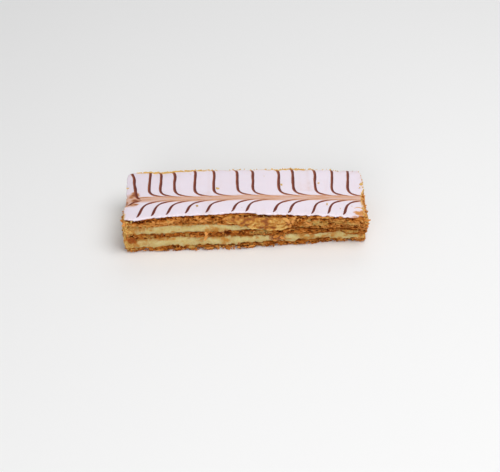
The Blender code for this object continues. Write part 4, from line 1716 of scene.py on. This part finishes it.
# Flakes on the front placed one by one, in mm and degrees: X, Z, half length, half width, turn, tone,
# which is custard yellow over 1, and how far out.
FRONT_FLAKES = (
    (-30.5, 11.0, 1.3, 0.55, 15.0, 0.90, 0.1), (-65.6, 11.0, 2.5, 0.90, 8.0, 0.34, 0.7),
    (-64.5, 9.7, 1.7, 1.10, -20.0, 0.38, 0.8), (-65.8, 8.4, 1.7, 0.90, 35.0, 0.50, 0.7),
    (-63.4, 8.3, 1.2, 0.70, 70.0, 0.55, 0.6), (-22.5, 14.2, 2.8, 1.25, 84.0, 1.05, 1.3),
    (-23.0, 10.6, 1.7, 1.05, 76.0, 0.92, 1.0), (44.6, 20.9, 4.2, 0.50, 2.0, 1.10, 0.4),
    (51.5, 19.6, 1.8, 0.45, -6.0, 0.90, 0.1), (31.5, 21.6, 1.9, 0.40, -4.0, 0.95, 0.2),
    (13.6, 23.7, 2.0, 0.55, 3.0, 1.00, 0.5), (38.5, 12.4, 4.4, 0.42, -1.0, 1.15, 0.7),
    (35.5, 17.2, 2.2, 0.45, -35.0, 0.92, 0.2), (17.4, 8.4, 1.9, 1.10, 25.0, 0.75, 0.4),
    (20.6, 7.0, 1.6, 0.90, -30.0, 0.95, 0.4), (22.0, 9.0, 1.2, 0.70, 60.0, 0.70, 0.3),
    (16.6, 5.2, 1.3, 0.80, -10.0, 0.85, 0.4), (22.6, 21.6, 1.9, 0.90, -40.0, 1.12, 0.7),
    (24.2, 19.7, 1.5, 0.80, -62.0, 1.00, 0.6), (27.5, 21.6, 1.5, 0.80, 55.0, 1.12, 0.7),
    (26.3, 19.6, 1.3, 0.75, 70.0, 0.98, 0.6), (25.3, 16.8, 1.2, 0.65, 85.0, 0.95, 0.6),
    (35.5, 1.4, 1.0, 0.70, 10.0, 1.00, 0.1), (3.0, 1.9, 2.4, 0.60, 10.0, 0.92, 0.1),
    (-50.0, 1.5, 2.0, 0.50, -5.0, 0.90, 0.1), (-21.0, 1.9, 2.2, 0.50, 8.0, 0.88, 0.1),
    (-69.0, 21.8, 1.6, 0.90, 70.0, 0.95, 0.1), (69.4, 18.8, 1.7, 0.75, 14.0, 0.90, 2.6),
    (64.5, 21.2, 2.2, 0.60, -8.0, 1.20, 0.5), (57.5, 21.4, 2.0, 0.55, 5.0, 1.20, 0.4),
)


def scattered_flakes(settings):
    """The flakes that are scattered by chance: middle, normal, spin, half length, half width and tone."""
    draw = np.random.default_rng(811)
    groups = []
    for node, number, levels, sizes, tones, weight in FLAKE_GROUPS:
        count = round(number * settings.scatter.amount)
        place = on_wall(draw, node, count, levels, weight, settings)
        groups.append((*place, draw.uniform(*sizes, count) * MM, draw.uniform(*tones, count)))
    point, way, half_length, tone = (np.concatenate(column) for column in zip(*groups))
    count = len(point)
    lying = draw.random((count, 1)) < 0.65
    normal = np.where(lying, [[0.0, 0.0, 1.0]], way) + draw.normal(0.0, 0.30, (count, 3))
    normal /= np.linalg.norm(normal, axis=1, keepdims=True)
    half_width = half_length * draw.uniform(0.35, 0.8, count)
    inward = np.where(lying[:, 0], draw.uniform(0.2, 1.2, count), draw.uniform(0.2, 0.9, count)) * MM
    spin = draw.uniform(0.0, math.pi, count)
    return point - way * inward[:, None], normal, spin, half_length, half_width, tone


def placed_flakes():
    """The flakes of the front that are placed one by one, in the same order of values."""
    x, z, half_length, half_width, turn, tone, out = np.array(FRONT_FLAKES).T
    x, z = x * MM, z * MM
    middle = np.stack([x, front_face().at(x, z) - out * MM, z], 1)
    normal = np.tile([0.1, -0.96, 0.25], (len(x), 1))
    return middle, normal, np.radians(turn), half_length * MM, half_width * MM, tone


# Crumbs: node, number, range of levels, how far sunk in mm, range of sizes in mm and of tones, share of
# yellow ones, and where along the outline.
CRUMB_GROUPS = (
    ("cream_lower", 380, (0.00, 1.00), 0.55, (0.10, 0.32), (0.25, 0.95), 0.2, all_round),
    ("cream_upper", 340, (0.00, 1.00), 0.55, (0.10, 0.32), (0.25, 0.95), 0.2, all_round),
    ("pastry_bottom", 330, (0.00, 0.95), 0.8, (0.16, 0.46), (0.35, 1.00), 0.1, all_round),
    ("pastry_middle", 260, (0.00, 1.00), 0.8, (0.14, 0.38), (0.30, 1.00), 0.1, all_round),
    ("pastry_top", 330, (0.00, 1.00), 0.8, (0.14, 0.38), (0.35, 1.00), 0.1, but_left),
    ("cream_lower", 260, (0.00, 1.00), 0.3, (0.20, 0.55), (0.65, 1.00), 0.85, left_end),
    ("cream_upper", 230, (0.00, 1.00), 0.3, (0.20, 0.55), (0.65, 1.00), 0.85, left_end),
    ("pastry_top", 130, (0.00, 1.00), 0.4, (0.20, 0.55), (0.60, 1.00), 0.7, left_end),
    ("pastry_middle", 70, (0.00, 1.00), 0.4, (0.20, 0.50), (0.60, 1.00), 0.7, left_end),
    ("cream_lower", 120, (0.00, 1.00), 0.3, (0.20, 0.55), (0.60, 1.05), 0.4, right_end),
    ("pastry_top", 130, (0.00, 1.00), 0.4, (0.20, 0.55), (0.50, 1.05), 0.3, right_end),
    ("icing", 560, (0.30, 1.15), 0.0, (0.18, 0.50), (0.75, 1.00), 1.0, back_edge),
    ("icing", 6, (-0.20, 0.50), 0.1, (0.12, 0.30), (0.60, 1.00), 0.7, icing_left),
    ("icing", 120, (0.00, 0.95), 0.1, (0.14, 0.40), (0.85, 1.00), 0.85, icing_right),
)
# How far a crumb that custard has soaked takes on its yellow.
YELLOWED = 0.8
# Crumbs that lie on the icing: X, Y and the size of the largest of each three, in mm.
CRUMBS_ON_TOP = (
    (-15.6, 3.0, 0.75), (-27.4, -12.8, 0.95), (21.6, 5.6, 0.55), (46.9, -11.4, 0.60),
    (43.4, 7.6, 0.45), (-67.4, 5.8, 0.50), (68.6, 8.0, 0.80), (67.6, 5.0, 0.40), (-31.0, 16.8, 0.22),
    (12.0, 14.0, 0.20), (25.0, -17.4, 0.25), (54.0, -15.0, 0.22), (61.0, -12.5, 0.28),
    (-2.0, -16.0, 0.18),
)


def scattered_crumbs(settings):
    """All crumbs: middle, size, tone and how yellow they are. Those on the icing lie in threes."""
    draw = np.random.default_rng(821)
    groups = []
    for node, number, levels, sunk, sizes, tones, share_yellow, weight in CRUMB_GROUPS:
        count = round(number * settings.scatter.amount)
        point, way = on_wall(draw, node, count, levels, weight, settings)
        size = draw.uniform(*sizes, count) * MM
        centre = point - way * (sunk * MM - 0.2 * size)[:, None]
        tone = draw.uniform(*tones, count)
        groups.append((centre, size, tone, YELLOWED * (draw.random(count) < share_yellow)))
    cover = icing_cover()
    for x, y, size in CRUMBS_ON_TOP:
        spot = np.array([x, y]) * MM
        height = icing_height(cover, spot[0], spot[1]) + 0.45 * size * MM
        near = spot + draw.normal(0.0, 0.5 * size, (3, 2)) * MM
        centre = np.concatenate([near, np.full((3, 1), height)], axis=1)
        sizes = np.array([1.0, 0.6, 0.5]) * size * MM
        groups.append((centre, sizes, draw.uniform(0.75, 1.0, 3), np.full(3, YELLOWED)))
    centre, *others = (np.concatenate(column) for column in zip(*groups))
    # None lie on the crust that is pressed into the custard.
    bare = marked("crust", *in_mm(centre)) < 0.3
    return [values[bare] for values in (centre, *others)]


class SLICE_OT_scatter_bits(bpy.types.Operator):
    """Scatter loose flakes and crumbs over the cut faces, and crumbs along the icing's edges and on it"""

    bl_idname = "mille_feuille.scatter_bits"
    bl_label = "Scatter Flakes and Crumbs"

    def execute(self, context):
        settings = context.scene.mille_feuille
        material = crumb_material(settings)
        both = zip(scattered_flakes(settings), placed_flakes())
        flakes = shards("flakes", 812, *(np.concatenate(pair) for pair in both))
        add_piece(flakes, material, "pastry")
        add_piece(nuggets("crumbs", 822, *scattered_crumbs(settings)), material, "pastry")
        return {"FINISHED"}


# ---- Stage -------------------------------------------------------


def point_at(thing, target):
    """Turns a camera or a lamp so that it looks at the target."""
    way = Vector(target) - thing.location
    thing.rotation_euler = way.to_track_quat("-Z", "Y").to_euler()


# White square area lamps: name, place, target, size and power.
LAMPS = (
    ("key", (0.34, -0.25, 0.95), (0, 0, 0), 0.7, 6.7),
    ("front", (-0.30, -1.1, 0.45), (0, 0, 0.01), 0.7, 5.0),
    ("rear", (0.2, 0.9, 0.8), (0, 0, 0), 0.8, 1.6),
)
WORLD_LIGHT = 0.30
CAMERA_TARGET = (2.7 * MM, -9.6 * MM, 0.0)
CAMERA_ROLL = math.radians(-0.24)
SENSOR_WIDTH = 36.0
FLOOR_HALF = 3.0


def hang_lamps():
    """The soft lamps, and the world's even light."""
    for name, place, target, size, power in LAMPS:
        data = bpy.data.lights.new(name, "AREA")
        data.shape, data.size, data.energy = "SQUARE", size, power
        lamp = bpy.data.objects.new(name, data)
        lamp.location = place
        point_at(lamp, target)
        bpy.context.scene.collection.objects.link(lamp)
    world = bpy.data.worlds.new("studio")
    world.use_nodes = True
    background = world.node_tree.nodes["Background"]
    background.inputs["Color"].default_value = (1.0, 1.0, 1.0, 1.0)
    background.inputs["Strength"].default_value = WORLD_LIGHT
    bpy.context.scene.world = world


def place_camera(stage):
    """The camera on a sphere round its target, rolled a little about its own axis."""
    data = bpy.data.cameras.new("camera")
    data.lens, data.sensor_width = stage.lens, SENSOR_WIDTH
    data.clip_start, data.clip_end = 0.01, 20.0
    camera = bpy.data.objects.new("camera", data)
    flat, up = math.cos(stage.elevation), math.sin(stage.elevation)
    back = Vector((math.sin(stage.azimuth) * flat, -math.cos(stage.azimuth) * flat, up))
    camera.location = Vector(CAMERA_TARGET) + back * stage.distance
    point_at(camera, CAMERA_TARGET)
    camera.rotation_euler.rotate_axis("Z", CAMERA_ROLL)
    bpy.context.scene.collection.objects.link(camera)
    bpy.context.scene.camera = camera


def lay_floor(colour):
    """A plain pale floor, slightly mottled."""
    corners = [(x * FLOOR_HALF, y * FLOOR_HALF, 0.0) for x, y in ((-1, -1), (1, -1), (1, 1), (-1, 1))]
    mesh = bpy.data.meshes.new("floor")
    mesh.from_pydata(corners, [], [(0, 1, 2, 3)])
    floor = bpy.data.objects.new("floor", mesh)
    bpy.context.scene.collection.objects.link(floor)
    material, tree, shader = new_material("Floor", {"Roughness": 0.9})
    mottle = noise(tree, object_point(tree), 4.0)
    shade = mixed(tree, mottle, colour, scaled(colour, (0.99, 0.99, 0.99)))
    tree.links.new(shade, shader.inputs["Base Color"])
    mesh.materials.append(material)
    floor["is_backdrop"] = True


class SLICE_OT_set_stage(bpy.types.Operator):
    """Set up the camera, the soft studio light and the floor"""

    bl_idname = "mille_feuille.set_stage"
    bl_label = "Set Stage"

    def execute(self, context):
        stage = context.scene.mille_feuille.stage
        place_camera(stage)
        lay_floor(stage.floor)
        hang_lamps()
        context.scene.view_settings.view_transform = "Standard"
        return {"FINISHED"}


class SLICE_PT_panel(bpy.types.Panel):
    """Sidebar panel with the steps of the slice in order"""

    bl_label = "Mille Feuille"
    bl_idname = "SLICE_PT_panel"
    bl_space_type = "VIEW_3D"
    bl_region_type = "UI"
    bl_category = "Mille Feuille"

    def draw(self, context):
        for operator, group, title in STEPS:
            self.layout.operator(operator.bl_idname)
            for name in group.__annotations__:
                self.layout.prop(getattr(context.scene.mille_feuille, title), name)


# The steps in order, each with its own settings.
STEPS = (
    (SLICE_OT_bake_sheets, BakeSettings, "bake"),
    (SLICE_OT_spread_custard, CustardSettings, "custard"),
    (SLICE_OT_pour_icing, IcingSettings, "icing"),
    (SLICE_OT_scatter_bits, ScatterSettings, "scatter"),
    (SLICE_OT_set_stage, StageSettings, "stage"),
)
OPERATORS, GROUPS, _ = zip(*STEPS)
CLASSES = (*GROUPS, SliceSettings, *OPERATORS, SLICE_PT_panel)


def register():
    for entry in CLASSES:
        bpy.utils.register_class(entry)
    bpy.types.Scene.mille_feuille = PointerProperty(type=SliceSettings)


def unregister():
    del bpy.types.Scene.mille_feuille
    for entry in reversed(CLASSES):
        bpy.utils.unregister_class(entry)


def main():
    """Registers the add-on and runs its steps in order."""
    register()
    for operator in OPERATORS:
        group, name = operator.bl_idname.split(".")
        getattr(getattr(bpy.ops, group), name)()


if __name__ == "__main__":
    main()
